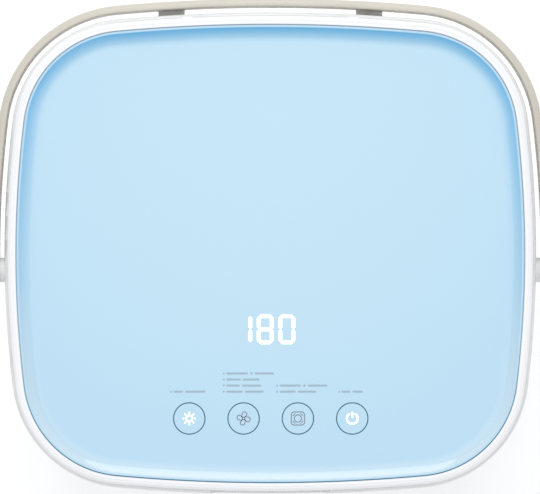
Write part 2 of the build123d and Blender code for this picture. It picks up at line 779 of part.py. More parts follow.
with BuildPart() as pivot_caps:
    for side in both_sides:
        rod((side * (handle_face - pivot_cap_thickness - 0.2), handle_pivot_y, handle_pivot_z),
            (side * (handle_face - 0.2), handle_pivot_y, handle_pivot_z), pivot_head_radius + moving_gap)
finish(pivot_caps, "pivot_caps")

# ---------------------------------------------------------------- lid

lid_inner_inset = lid_inset + lid_wall
lid_screws_at = corner_points(lid_screw_inset)
lid_screws_at += [(side * (half_width - lid_screw_inset), 0) for side in both_sides]
lid_screws_at += [(0, side * (half_depth - lid_screw_inset)) for side in both_sides]

with BuildPart() as lid_frame:
    outline_block(lid_inset, lid_bottom, rim_top, taper=lid_draft)
    fillet(lid_frame.edges().group_by(Axis.Z)[-1], rim_round)
    outline_block(lid_inner_inset, lid_bottom, ledge_bottom, mode=Mode.SUBTRACT)
    outline_block(pocket_inset, panel_seat, rim_top + 1, mode=Mode.SUBTRACT)
    outline_block(pocket_inset + ledge_width, lid_bottom, rim_top, mode=Mode.SUBTRACT)
    for x, y in lid_screws_at:
        post(x, y, lid_post_radius, lid_flange_top, ledge_bottom)
        post(x, y, screw_radius, lid_flange_top, lid_flange_top + 10, mode=Mode.SUBTRACT)
    # bosses that hold the hinge pins
    boss_offset = hinge_notch + hinge_boss_width / 2
    boss_back = end_y(hinge_spread + boss_offset, lid_inner_inset) + lid_wall / 2
    for x in hinge_xs:
        for side in both_sides:
            middle = x + side * boss_offset
            box_between((middle - hinge_boss_width / 2, hinge_y - 5, lid_flange_top + fit_gap),
                        (middle + hinge_boss_width / 2, boss_back, ledge_bottom))
        rod((x - 20, hinge_y, hinge_z), (x + 20, hinge_y, hinge_z), hinge_pin_radius, mode=Mode.SUBTRACT)
    cut_for_hinge()
finish(lid_frame, "lid_frame")

with BuildPart() as hinge_pins:
    half_pin = hinge_notch + hinge_boss_width
    for x in hinge_xs:
        rod((x - half_pin, hinge_y, hinge_z), (x + half_pin, hinge_y, hinge_z), hinge_pin_radius)
finish(hinge_pins, "hinge_pins")

# a shallow dish: a narrow lip, then a hollow curve down to a flat floor
dish_start = panel_inset + dish_lip - (dish_radius - dish_slope)

with BuildPart() as dish_form:
    outline_block(dish_start, dish_floor, dish_floor + dish_radius + 1)
    fillet(dish_form.edges().group_by(Axis.Z)[0], dish_radius)

with BuildPart() as top_panel:
    outline_block(panel_inset, panel_seat, panel_top)
    fillet(top_panel.edges().group_by(Axis.Z)[-1], panel_edge_round)
    add(dish_form.part, mode=Mode.SUBTRACT)
    outline_block(panel_inset + panel_thickness, panel_seat, panel_underside, mode=Mode.SUBTRACT)
finish(top_panel, "top_panel")

control_post_xs = [side * (control_board_width / 2 - board_post_margin) for side in both_sides]
control_post_ys = [control_board_y + side * (control_board_depth / 2 - board_post_margin)
                   for side in both_sides]

with BuildPart() as lid_liner:
    outline_block(lid_inner_inset + moving_gap, lid_flange_bottom, lid_flange_top)
    outline_block(plug_inset, plug_bottom, lid_flange_bottom)
    fillet(lid_liner.edges().group_by(Axis.Z)[0], 1.5)
    outline_block(plug_inset + lid_plate, plug_floor, lid_flange_top, mode=Mode.SUBTRACT)
    for x, y in lid_lamps:
        flat_block(x, y, lamp_length, lamp_width, plug_bottom, plug_floor, mode=Mode.SUBTRACT)
    for x, y in lid_screws_at:
        post(x, y, screw_radius, lid_flange_bottom, lid_flange_top, mode=Mode.SUBTRACT)
        post(x, y, screw_head_radius, lid_flange_bottom, lid_flange_bottom + screw_head_height,
             mode=Mode.SUBTRACT)
    for x in control_post_xs:
        for y in control_post_ys:
            post(x, y, board_post_radius, plug_floor, control_board_z)
    cut_for_hinge()
finish(lid_liner, "lid_liner")

with BuildPart() as lid_screws:
    for x, y in lid_screws_at:
        post(x, y, screw_head_radius, lid_flange_bottom, lid_flange_bottom + screw_head_height)
        post(x, y, screw_radius, lid_flange_bottom, lid_flange_top + 9)
finish(lid_screws, "lid_screws")

with BuildPart() as lid_magnets:
    for x, y in magnets_at:
        flat_block(x, y, magnet_length, magnet_width, lid_flange_top, lid_flange_top + magnet_thickness)
finish(lid_magnets, "lid_magnets")

# ---------------------------------------------------------------- lid: controls

control_face = control_board_z + board_thickness

with BuildPart() as control_board:
    flat_block(0, control_board_y, control_board_width, control_board_depth, control_board_z, control_face)
finish(control_board, "control_board")

with BuildPart() as display_module:
    flat_block(display_x, display_y, display_width, display_depth, control_face,
               control_face + display_height)
finish(display_module, "display_module")

with BuildPart() as touch_pads:
    for x in button_xs:
        post(x, button_y, touch_pad_radius, control_face, panel_underside)
        post(x, button_y, touch_pad_bore, control_face, panel_underside, mode=Mode.SUBTRACT)
finish(touch_pads, "touch_pads")

with BuildPart() as button_leds:
    for x in button_xs:
        flat_block(x, button_y, led_size, led_size, control_face, control_face + led_height)
finish(button_leds, "button_leds")

with BuildPart() as buzzer:
    post(50, display_y, 6, control_face, control_face + 6)
    post(50, display_y, 1.5, control_face + 4, control_face + 6, mode=Mode.SUBTRACT)
finish(buzzer, "buzzer")

# ---------------------------------------------------------------- bottle rack

rack_path = outline(rack_inset).face().outer_wire()
post_centres = [rack_path @ ((i + 0.5) / rack_posts) for i in range(rack_posts)]


def rack_ring(z):
    """Adds a round-edged wire ring about the rack, inside the open part."""
    outline_block(rack_inset - rack_frame_wire, z - rack_frame_wire, z + rack_frame_wire)
    outline_block(rack_inset + rack_frame_wire, z - rack_frame_wire, z + rack_frame_wire,
                  mode=Mode.SUBTRACT)


with BuildPart() as rack_base:
    rack_ring(rack_floor)
    fillet(rack_base.edges(), rack_frame_wire * 0.8)
finish(rack_base, "rack_base")

with BuildPart() as rack_rim_wire:
    rack_ring(rack_rim)
    fillet(rack_rim_wire.edges(), rack_frame_wire * 0.8)
finish(rack_rim_wire, "rack_rim_wire")

with BuildPart() as rack_fence:
    for centre in post_centres:
        post(centre.X, centre.Y, rack_wire, rack_floor, rack_rim)
    add(rack_base.part, mode=Mode.SUBTRACT)
    add(rack_rim_wire.part, mode=Mode.SUBTRACT)
finish(rack_fence, "rack_fence")

with BuildPart() as rack_loops:
    for side in both_sides:
        loop_y = rack_loop_width / 2
        loop_x = side * side_x(loop_y, rack_inset)
        loop_z = rack_rim + rack_loop_height
        with BuildLine() as loop:
            FilletPolyline((loop_x, -loop_y, rack_rim), (loop_x, -loop_y, loop_z),
                           (loop_x, loop_y, loop_z), (loop_x, loop_y, rack_rim), radius=rack_loop_radius)
        with BuildSketch(Plane(origin=loop.line @ 0, z_dir=loop.line % 0)):
            Circle(rack_frame_wire)
        sweep(path=loop.line)
    add(rack_rim_wire.part, mode=Mode.SUBTRACT)
finish(rack_loops, "rack_loops")

wire_xs = [(i - (rack_wires - 1) / 2) * rack_wire_pitch for i in range(rack_wires)]
foot_wire_x = wire_xs[-2]

with BuildPart() as rack_mesh:
    for x in wire_xs:
        y = edge_y(x, rack_inset)
        rod((x, -y, rack_floor), (x, y, rack_floor), rack_wire)
    for side in both_sides:
        y = side * rack_cross_spread
        x = wire_xs[-1] + 3
        rod((-x, y, rack_floor - 1.6 * rack_wire), (x, y, rack_floor - 1.6 * rack_wire), rack_wire)
    add(rack_base.part, mode=Mode.SUBTRACT)
finish(rack_mesh, "rack_mesh")

with BuildPart() as rack_feet:
    for sx in both_sides:
        for sy in both_sides:
            post(sx * foot_wire_x, sy * (rack_cross_spread - 10), rack_foot_radius, liner_floor,
                 rack_floor + rack_wire + 1)
    add(rack_mesh.part, mode=Mode.SUBTRACT)
finish(rack_feet, "rack_feet")
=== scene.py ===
import json
from math import atan2, cos, hypot, pi, radians, sin, sqrt, tan

import bpy
from bpy.props import FloatProperty, FloatVectorProperty, IntProperty, PointerProperty
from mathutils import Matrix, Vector

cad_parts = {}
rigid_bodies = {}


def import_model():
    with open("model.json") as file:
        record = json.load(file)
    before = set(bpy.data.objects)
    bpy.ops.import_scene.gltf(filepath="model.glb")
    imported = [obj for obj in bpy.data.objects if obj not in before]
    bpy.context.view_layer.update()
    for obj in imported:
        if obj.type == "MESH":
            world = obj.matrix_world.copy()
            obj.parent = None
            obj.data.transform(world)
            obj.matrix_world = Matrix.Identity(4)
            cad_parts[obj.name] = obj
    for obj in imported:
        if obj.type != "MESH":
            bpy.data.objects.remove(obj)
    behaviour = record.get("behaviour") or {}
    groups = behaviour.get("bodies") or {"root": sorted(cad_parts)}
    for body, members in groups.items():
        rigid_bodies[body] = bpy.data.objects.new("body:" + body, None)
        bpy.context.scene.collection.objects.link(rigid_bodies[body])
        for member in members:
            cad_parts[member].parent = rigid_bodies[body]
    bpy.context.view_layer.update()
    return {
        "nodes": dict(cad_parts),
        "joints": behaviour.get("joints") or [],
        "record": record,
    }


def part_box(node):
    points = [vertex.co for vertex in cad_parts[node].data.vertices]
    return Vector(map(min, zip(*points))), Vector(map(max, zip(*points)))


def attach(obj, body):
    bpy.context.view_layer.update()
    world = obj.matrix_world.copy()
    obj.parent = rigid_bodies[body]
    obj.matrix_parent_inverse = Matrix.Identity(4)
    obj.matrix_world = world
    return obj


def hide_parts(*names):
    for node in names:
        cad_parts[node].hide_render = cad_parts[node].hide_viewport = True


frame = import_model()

# Looks of a bottle sterilizer with a dished touch panel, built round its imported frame.
# Lengths are metres. "Inset" is a distance inwards from the tank's plan outline at its top edge,
# which is made of four long bowed sides and four corner arcs, all with fixed centres.

bl_info = {
    "name": "Bottle sterilizer looks",
    "version": (1, 0, 0),
    "blender": (4, 5, 0),
    "location": "View3D > Sidebar > Sterilizer",
    "description": "Models the sterilizer's casings, panel marks, finishes and stage",
    "category": "Object",
}

MM = 0.001
MERGE_GAP = 0.001 * MM


def low(node):
    """Lowest corner of a CAD node's box."""
    return Vector(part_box(node)[0])


def high(node):
    """Highest corner of a CAD node's box."""
    return Vector(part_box(node)[1])


# ---------------------------------------------------------------- settings


def length(name, description, default):
    """A property for a length in metres."""
    return FloatProperty(name=name, description=description, default=default, min=0.0, unit="LENGTH")


def angle(name, description, degrees):
    """A property for an angle."""
    return FloatProperty(name=name, description=description, default=radians(degrees), min=0.0,
                         subtype="ANGLE")


def colour(name, description, default):
    """A property for a colour."""
    return FloatVectorProperty(name=name, description=description, default=default, size=3, min=0.0,
                               max=1.0, subtype="COLOR")


class SterilizerSizes(bpy.types.PropertyGroup):
    """Sizes of the casings."""
    lid_inset: length("Lid inset", "From the tank's outline to the lid's lower edge", 2.8 * MM)
    side_bow: length("Side bow radius", "Plan radius of the left and right sides", 657 * MM)
    end_bow: length("End bow radius", "Plan radius of the front and the back", 1018 * MM)
    corner: length("Corner radius", "Plan radius of the four corners", 70 * MM)
    wall: length("Wall", "Thickness of the moulded walls", 2.6 * MM)
    lid_draft: angle("Lid draft", "Lean of the lid's sides", 3.0)
    rim_width: length("Rim width", "White rim between the lid's side and the panel's pocket", 6.4 * MM)
    rim_round: length("Rim rounding", "Radius of the rim's outer edge", 2.6 * MM)
    # The bead's top is coloured by its finish as painted shadow in the gap.
    panel_bead: length("Panel bead", "Depth of the blue bead that closes the gap round the panel", 0.7 * MM)
    panel_gap: length("Panel gap", "Gap round the panel", 0.6 * MM)
    dish_lip: length("Dish lip", "Flat lip round the dish", 1.0 * MM)
    dish_depth: length("Dish depth", "Depth of the dish under its lip", 3.6 * MM)
    dish_radius: length("Dish radius", "Radius of the hollow slope", 14 * MM)
    panel_thickness: length("Panel thickness", "Wall of the touch panel", 2.8 * MM)
    ledge_width: length("Ledge width", "Width of the ledge that carries the panel", 7.2 * MM)
    ledge_thickness: length("Ledge thickness", "Thickness of that ledge", 2.4 * MM)
    hinge_spread: length("Hinge spread", "From the middle to each hinge", 42 * MM)
    hinge_reach: length("Hinge reach", "From the hinge's axis to the lid's back", 9 * MM)
    hinge_notch: length("Hinge notch", "Half the width of the notch round a hinge", 4.6 * MM)
    hinge_boss: length("Hinge boss", "Width of a boss beside a notch", 6 * MM)
    handle_thickness: length("Handle thickness", "Thickness of the handle", 5 * MM)
    handle_height: length("Handle height", "Height of the handle's section", 16 * MM)
    handle_end: length("Handle end", "Radius of the handle's round ends", 10 * MM)
    cap_radius: length("Cap radius", "Radius of the pivot caps", 6.3 * MM)
    cap_thickness: length("Cap thickness", "Thickness of the pivot caps", 1.2 * MM)
    seal_width: length("Seal width", "Width of the lid's seal", 4.4 * MM)
    foot_width: length("Foot width", "Width of the foot ring", 7 * MM)
    handle_round: length("Handle rounding", "Radius of the handle's outer long edges", 3.7 * MM)


class SterilizerMarks(bpy.types.PropertyGroup):
    """Sizes of the marks on the panel."""
    ink: length("Mark thickness", "Height of a mark over the panel", 0.06 * MM)
    digit_height: length("Digit height", "Height of the display's digits", 17.7 * MM)
    digit_width: length("Digit width", "Width of a digit", 9.9 * MM)
    digit_pitch: length("Digit pitch", "Distance between digits", 12.8 * MM)
    digit_stroke: length("Digit stroke", "Width of a lit segment", 2.15 * MM)
    ring_radius: length("Button radius", "Radius of the touch circles", 9.32 * MM)
    ring_line: length("Button line", "Width of the touch circles' line", 0.66 * MM)
    icon_line: length("Icon line", "Width of an unlit icon's line", 0.62 * MM)
    lit_line: length("Lit icon line", "Width of a lit icon's line", 0.85 * MM)
    caption_pitch: length("Caption pitch", "Distance between caption lines", 3.6 * MM)
    count: IntProperty(name="Minutes shown", description="Number on the display", default=180, min=0,
                       max=999)


class SterilizerColours(bpy.types.PropertyGroup):
    """Colours of the finishes."""
    panel: colour("Panel", "Light blue of the touch panel", (0.472, 0.69, 0.84))
    # The next two colours are painted light and shade on the dish's slope: a deeper blue as painted shade at
    # the back, a paler blue as painted light at the front.
    panel_deep: colour("Panel at the back", "Deeper blue at the back of the dish", (0.13, 0.49, 0.83))
    panel_pale: colour("Panel at the front", "Paler blue at the front of the dish", (0.66, 0.78, 0.86))
    lid: colour("Lid white", "White of the lid", (0.90, 0.90, 0.915))
    tank: colour("Tank white", "White of the tank", (0.85, 0.85, 0.845))
    handle: colour("Handle", "Warm pale grey of the handle", (0.62, 0.58, 0.50))
    teal: colour("Touch circle", "Teal of the touch circles", (0.0, 0.12, 0.19))
    grey_ink: colour("Grey ink", "Grey of unlit icons", (0.20, 0.25, 0.29))
    caption: colour("Caption", "Soft grey of the captions", (0.34, 0.46, 0.55))
    lit: colour("Lit mark", "White of lit marks", (1.0, 1.0, 1.0))


# ---------------------------------------------------------------- shader maths


class Wire:
    """A value in a material's node tree. Arithmetic on it adds Math nodes."""

    def __init__(self, recipe, socket):
        self.recipe = recipe
        self.socket = socket

    def _maths(self, operation, *values):
        node = self.recipe.node("ShaderNodeMath", {"operation": operation},
                                **{f"in{i}": v for i, v in enumerate(values)})
        return Wire(self.recipe, node.outputs[0])

    def __add__(self, other):
        return self._maths("ADD", self, other)

    def __radd__(self, other):
        return self._maths("ADD", other, self)

    def __sub__(self, other):
        return self._maths("SUBTRACT", self, other)

    def __rsub__(self, other):
        return self._maths("SUBTRACT", other, self)

    def __mul__(self, other):
        return self._maths("MULTIPLY", self, other)

    def __rmul__(self, other):
        return self._maths("MULTIPLY", other, self)

    def __truediv__(self, other):
        return self._maths("DIVIDE", self, other)

    def __rtruediv__(self, other):
        return self._maths("DIVIDE", other, self)


class Recipe:
    """Builds one material from nodes."""

    def __init__(self, name):
        self.material = bpy.data.materials.new(name)
        self.material.use_nodes = True
        self.tree = self.material.node_tree
        self.tree.nodes.clear()
        self.place = self.node("ShaderNodeTexCoord").outputs["Object"]

    def node(self, kind, settings=None, **inputs):
        """Adds a node: its settings first, then values or links; in0, in1 name sockets by number."""
        node = self.tree.nodes.new(kind)
        for name, value in (settings or {}).items():
            if name == "stops":
                ramp = node.color_ramp
                while len(ramp.elements) < len(value):
                    ramp.elements.new(0.5)
                for element, (at, tint) in zip(ramp.elements, value):
                    element.position = at
                    element.color = tint
            else:
                setattr(node, name, value)
        for name, value in inputs.items():
            key = int(name[2:]) if name[:2] == "in" and name[2:].isdigit() else name.replace("_", " ")
            socket = node.inputs[key]
            if isinstance(value, Wire):
                value = value.socket
            if isinstance(value, bpy.types.NodeSocket):
                self.tree.links.new(value, socket)
            else:
                socket.default_value = value
        return node

    def stretched(self, scale):
        """Object coordinates with another scale along each axis."""
        return self.node("ShaderNodeMapping", Vector=self.place, Scale=scale).outputs[0]

    def noise(self, size, detail=2.0, place=None, rough=0.5):
        """Noise from 0 to 1 with features of about this size in metres."""
        node = self.node("ShaderNodeTexNoise", Vector=place or self.place, Scale=1 / size, Detail=detail,
                         Roughness=rough)
        return Wire(self, node.outputs[0])

    def ramp(self, value, *stops):
        """A colour ramp over a value, as grey levels or colours."""
        full = [(at, (c, c, c, 1) if isinstance(c, float) else (*c, 1)) for at, c in stops]
        node = self.node("ShaderNodeValToRGB", {"stops": full}, Fac=value)
        return Wire(self, node.outputs[0])

    def blend(self, amount, first, second, how="MIX"):
        """Mixes two colours by an amount."""
        node = self.node("ShaderNodeMix", {"data_type": "RGBA", "blend_type": how}, in0=amount)
        for key, value in ((6, first), (7, second)):
            if isinstance(value, Wire):
                self.tree.links.new(value.socket, node.inputs[key])
            else:
                node.inputs[key].default_value = (*value, 1)
        return Wire(self, node.outputs[2])

    def bump(self, height, depth):
        """Normals from a height of this depth in metres."""
        node = self.node("ShaderNodeBump", Strength=1.0, Distance=depth, Height=height)
        return Wire(self, node.outputs[0])

    def done(self, base, **inputs):
        """Ends the material with a principled shader."""
        if not isinstance(base, Wire):
            base = (*base, 1)
        shader = self.node("ShaderNodeBsdfPrincipled", Base_Color=base, **inputs)
        self.node("ShaderNodeOutputMaterial", Surface=shader.outputs[0])
        return self.material


# ---------------------------------------------------------------- finishes


def mottle(recipe, tint, spread, size):
    """A colour that wanders very slightly, as in a moulding."""
    lighter = tuple(min(1.0, c * (1 + spread)) for c in tint)
    darker = tuple(c * (1 - spread) for c in tint)
    return recipe.blend(recipe.noise(size, 3), darker, lighter)


def moulded(name, tint, rough, grain, depth, coat=0.0):
    """Moulded plastic: spark-eroded grain, faint flow marks and handling polish."""
    r = Recipe(name)
    texture = r.noise(grain, 2)
    worn = r.noise(60 * MM, 3)
    roughness = r.ramp(worn, (0.3, rough * 0.85), (0.7, rough * 1.15))
    return r.done(mottle(r, tint, 0.012, 45 * MM), Roughness=roughness, Normal=r.bump(texture, depth),
                  Coat_Weight=coat, Coat_Roughness=0.08)


def panel_finish(colours, floor, depth):
    """Glossy blue panel with painted light and shade: painted shade deepens the colour up the slope at the
    back of the dish, painted light pales it at the front, and a painted reflection lightens the middle.
    """
    r = Recipe("panel_gloss")
    axes = r.node("ShaderNodeSeparateXYZ", Vector=r.place)
    along = Wire(r, axes.outputs[1])
    climb = (Wire(r, axes.outputs[2]) - floor) / depth
    # Masks for painted shade and light: back picks the back of the dish, front picks the front, and slope
    # keeps both to the dish's slope.
    back = r.ramp(along * 3.2 + 0.5, (0.3, 0.0), (0.95, 1.0))
    front = r.ramp(along * -3.2 + 0.5, (0.55, 0.0), (0.95, 1.0))
    slope = r.ramp(climb, (0.0, 0.0), (0.04, 0.17), (0.16, 0.38), (0.45, 0.74), (0.9, 1.0), (0.985, 0.1))
    even = r.blend(r.noise(70 * MM, 3), tuple(c * 0.99 for c in colours.panel),
                   tuple(c * 1.01 for c in colours.panel))
    # Painted reflection: the blue is made a shade lighter round a point just behind the middle, standing in
    # for an overhead lamp's reflection.
    centred = r.node("ShaderNodeVectorMath", {"operation": "DISTANCE"}, in0=r.place, in1=(0, 0.075, floor))
    middle = r.ramp(Wire(r, centred.outputs[1]) * 5.0, (0.0, 1.0), (0.45, 0.75), (0.95, 0.0))
    even = r.blend(middle, even, tuple(min(1.0, c * k) for c, k in zip(colours.panel, (1.09, 1.05, 1.02))))
    # Painted shade on the back of the slope, then painted light on the front of it.
    with_painted_back_shade = r.blend(slope * back, even, tuple(colours.panel_deep))
    base = r.blend(slope * front, with_painted_back_shade, tuple(colours.panel_pale))
    roughness = r.ramp(r.noise(25 * MM, 4), (0.35, 0.045), (0.65, 0.075))
    return r.done(base, Roughness=roughness, Normal=r.bump(r.noise(30 * MM, 1), 0.01 * MM), IOR=1.5)


def bead_finish():
    """Bead between panel and rim, coloured as painted shadow in the gap: dark teal at the front, paling to
    grey towards the back.
    """
    r = Recipe("panel_bead")
    axes = r.node("ShaderNodeSeparateXYZ", Vector=r.place)
    along = Wire(r, axes.outputs[1]) * 3.2 + 0.5
    # Painted gap shadow: darkest teal at the front, greyer towards the back.
    base = r.ramp(along, (0.03, (0.0, 0.15, 0.28)), (0.14, (0.01, 0.24, 0.40)), (0.32, (0.30, 0.48, 0.60)),
                  (0.7, (0.33, 0.44, 0.52)), (0.95, (0.34, 0.40, 0.44)))
    return r.done(base, Roughness=r.ramp(r.noise(10 * MM, 2), (0.3, 0.3), (0.7, 0.4)))


def glowing(name, tint, strength):
    """Lit mark shining through the panel."""
    r = Recipe(name)
    level = r.ramp(r.noise(3 * MM, 1), (0.3, 0.94), (0.7, 1.0))
    shade = r.blend(level, (0.0, 0.0, 0.0), tint)
    return r.done(shade, Roughness=0.25, Emission_Color=shade, Emission_Strength=strength)


def ink(name, tint, spread):
    """Printed ink with a slightly uneven tone."""
    r = Recipe(name)
    return r.done(mottle(r, tint, spread, 1.5 * MM), Roughness=0.35)


def brushed_metal(name, tint, rough, across=(1, 1, 30), size=6 * MM):
    """Polished sheet or wire with drawn lines."""
    r = Recipe(name)
    lines = r.noise(size, 5, r.stretched(across), 0.65)
    roughness = r.ramp(lines, (0.3, rough * 0.75), (0.7, rough * 1.3))
    return r.done(mottle(r, tint, 0.03, 20 * MM), Metallic=1.0, Roughness=roughness,
                  Normal=r.bump(lines, 0.004 * MM))


def rubbery(name, tint, rough):
    """Rubber or silicone with a fine dull skin."""
    r = Recipe(name)
    return r.done(mottle(r, tint, 0.05, 8 * MM), Roughness=r.ramp(r.noise(5 * MM, 3), (0.3, rough * 0.9),
                  (0.7, rough)), Normal=r.bump(r.noise(0.5 * MM, 2), 0.03 * MM))


def board_finish():
    """Green solder mask over copper traces."""
    r = Recipe("solder_mask")
    cells = r.node("ShaderNodeTexVoronoi", {"feature": "DISTANCE_TO_EDGE", "distance": "MANHATTAN"},
                   Vector=r.place, Scale=1 / (5 * MM))
    trace = r.ramp(Wire(r, cells.outputs[0]), (0.05, 1.0), (0.09, 0.0))
    base = r.blend(trace, (0.012, 0.10, 0.045), (0.03, 0.20, 0.08))
    return r.done(base, Roughness=0.3, Normal=r.bump(trace, 0.03 * MM))


def fleece_finish():
    """Off-white filter fleece with a felted pile."""
    r = Recipe("filter_fleece")
    fibres = r.noise(1.2 * MM, 6, r.stretched((1, 0.25, 1)), 0.7)
    pleat = r.node("ShaderNodeTexWave", Vector=r.place, Scale=1 / (9 * MM), Distortion=0.6, Detail=1.0)
    base = r.blend(fibres, (0.62, 0.62, 0.58), (0.86, 0.86, 0.83))
    height = fibres * 0.4 + Wire(r, pleat.outputs[1])
    return r.done(base, Roughness=0.95, Normal=r.bump(height, 0.5 * MM))


def window_finish():
    """Quartz window, clear with a faint cool tint."""
    r = Recipe("quartz_window")
    haze = r.ramp(r.noise(12 * MM, 3), (0.3, 0.28), (0.7, 0.34))
    return r.done((0.86, 0.93, 0.97), Roughness=0.04, Alpha=haze, IOR=1.46)


def chip_finish():
    """Light-emitting chip: a yellow die under a clear lens."""
    r = Recipe("lamp_chip")
    dots = r.noise(1.0 * MM, 1)
    return r.done(r.blend(dots, (0.75, 0.62, 0.20), (0.95, 0.93, 0.80)), Roughness=0.3)


def copper_finish():
    """Enamelled copper windings."""
    r = Recipe("copper_winding")
    turns = r.node("ShaderNodeTexWave", {"bands_direction": "Z"}, Vector=r.place, Scale=1 / (3 * MM),
                   Distortion=0.4)
    level = Wire(r, turns.outputs[1])
    return r.done(r.blend(level, (0.35, 0.12, 0.05), (0.72, 0.34, 0.16)), Metallic=0.9, Roughness=0.32,
                  Normal=r.bump(level, 0.15 * MM))


# ---------------------------------------------------------------- modelling by hand


def stop_editing():
    """Leaves edit mode and deselects everything."""
    if bpy.context.object and bpy.context.object.mode != "OBJECT":
        bpy.ops.object.mode_set(mode="OBJECT")
    bpy.ops.object.select_all(action="DESELECT")


def pick(piece):
    """Makes one object the only selected one, and the active one."""
    stop_editing()
    piece.select_set(True)
    bpy.context.view_layer.objects.active = piece


def start_point(name, at):
    """A new object, open in edit mode, that holds one selected vertex at this place."""
    stop_editing()
    bpy.ops.mesh.primitive_plane_add(size=MM)
    piece = bpy.context.object
    piece.name = name
    bpy.ops.object.mode_set(mode="EDIT")
    bpy.ops.mesh.merge(type="CENTER")
    bpy.ops.transform.translate(value=at)
    return piece


def another_point(at):
    """A further loose vertex in the open object; only it is selected."""
    bpy.ops.mesh.select_all(action="DESELECT")
    bpy.ops.mesh.primitive_plane_add(size=MM)
    bpy.ops.mesh.merge(type="CENTER")
    bpy.ops.transform.translate(value=at)


def draw_to(points, start):
    """Extrudes the selected vertex along these points and selects the whole line."""
    at = Vector(start)
    for point in points:
        step = Vector(point) - at
        bpy.ops.mesh.extrude_region_move(TRANSFORM_OT_translate={"value": step})
        at = Vector(point)
    bpy.ops.mesh.select_linked()


def spin_round(centre, turn, steps):
    """Spins the selection anticlockwise about an upright axis."""
    bpy.ops.mesh.spin(steps=steps, angle=turn, center=centre, axis=(0, 0, -1))


def close_up(gap=2 * MERGE_GAP):
    """Merges doubles, fills open ends and turns the faces outwards."""
    bpy.ops.mesh.select_all(action="SELECT")
    bpy.ops.mesh.remove_doubles(threshold=gap)
    bpy.ops.mesh.select_all(action="DESELECT")
    bpy.ops.mesh.select_non_manifold()
    bpy.ops.mesh.fill_holes(sides=0)
    bpy.ops.mesh.select_all(action="SELECT")
    bpy.ops.mesh.normals_make_consistent(inside=False)


def smooth(piece, sharpest=35):
    """Shades a piece smooth, apart from edges sharper than this many degrees."""
    pick(piece)
    bpy.ops.object.shade_smooth_by_angle(angle=radians(sharpest))


def apply_modifier(piece, kind, **settings):
    """Adds a modifier with these settings and applies it."""
    pick(piece)
    modifier = piece.modifiers.new(kind.lower(), kind)
    for name, value in settings.items():
        setattr(modifier, name, value)
    bpy.ops.object.modifier_apply(modifier=modifier.name)


def carve(piece, cutter, operation="DIFFERENCE"):
    """Cuts or joins another solid with this one, and removes the other."""
    apply_modifier(piece, "BOOLEAN", object=cutter, operation=operation, solver="EXACT")
    bpy.data.objects.remove(cutter, do_unlink=True)


def join(pieces):
    """Joins objects into the first."""
    pick(pieces[0])
    for piece in pieces[1:]:
        piece.select_set(True)
    bpy.ops.object.join()
    return pieces[0]


def settle(piece):
    """Puts the piece's place into its mesh."""
    pick(piece)
    bpy.ops.object.transform_apply(location=True, rotation=True, scale=True)
    return piece


def block(name, lowest, highest, bevel=0.0, segments=3):
    """A box between two corners with rounded edges."""
    stop_editing()
    lowest = Vector(lowest)
    highest = Vector(highest)
    bpy.ops.mesh.primitive_cube_add(size=1, location=(lowest + highest) / 2, scale=highest - lowest)
    piece = bpy.context.object
    piece.name = name
    settle(piece)
    if bevel:
        bpy.ops.object.mode_set(mode="EDIT")
        bpy.ops.mesh.select_all(action="SELECT")
        bpy.ops.mesh.bevel(offset=bevel, segments=segments, affect="EDGES")
        bpy.ops.object.mode_set(mode="OBJECT")
    return piece


def disc(name, centre, radius, thickness, axis="X", bevel=0.0, steps=64):
    """A round disc about an axis through its centre, with rounded rims."""
    stop_editing()
    turn = {"X": (0, pi / 2, 0), "Y": (pi / 2, 0, 0), "Z": (0, 0, 0)}[axis]
    bpy.ops.mesh.primitive_cylinder_add(vertices=steps, radius=radius, depth=thickness, location=centre,
                                        rotation=turn)
    piece = bpy.context.object
    piece.name = name
    settle(piece)
    if bevel:
        bpy.ops.object.mode_set(mode="EDIT")
        bpy.ops.mesh.select_all(action="DESELECT")
        bpy.ops.mesh.select_mode(type="FACE")
        bpy.ops.object.mode_set(mode="OBJECT")
        way = Vector([axis == "X", axis == "Y", axis == "Z"])
        for face in piece.data.polygons:
            face.select = abs(face.normal.dot(way)) > 0.9
        bpy.ops.object.mode_set(mode="EDIT")
        bpy.ops.mesh.bevel(offset=bevel, segments=4, affect="EDGES")
        bpy.ops.mesh.select_mode(type="VERT")
        bpy.ops.object.mode_set(mode="OBJECT")
    return piece


# ---------------------------------------------------------------- the plan outline

# Steps of a spin for half a long side and for any other arc, the turn of one facet of a rounded edge,
# and the sides of a fine disc.
SIDE_STEPS = 12
ARC_STEPS = 22
FACET = radians(11)
ROUND = 96


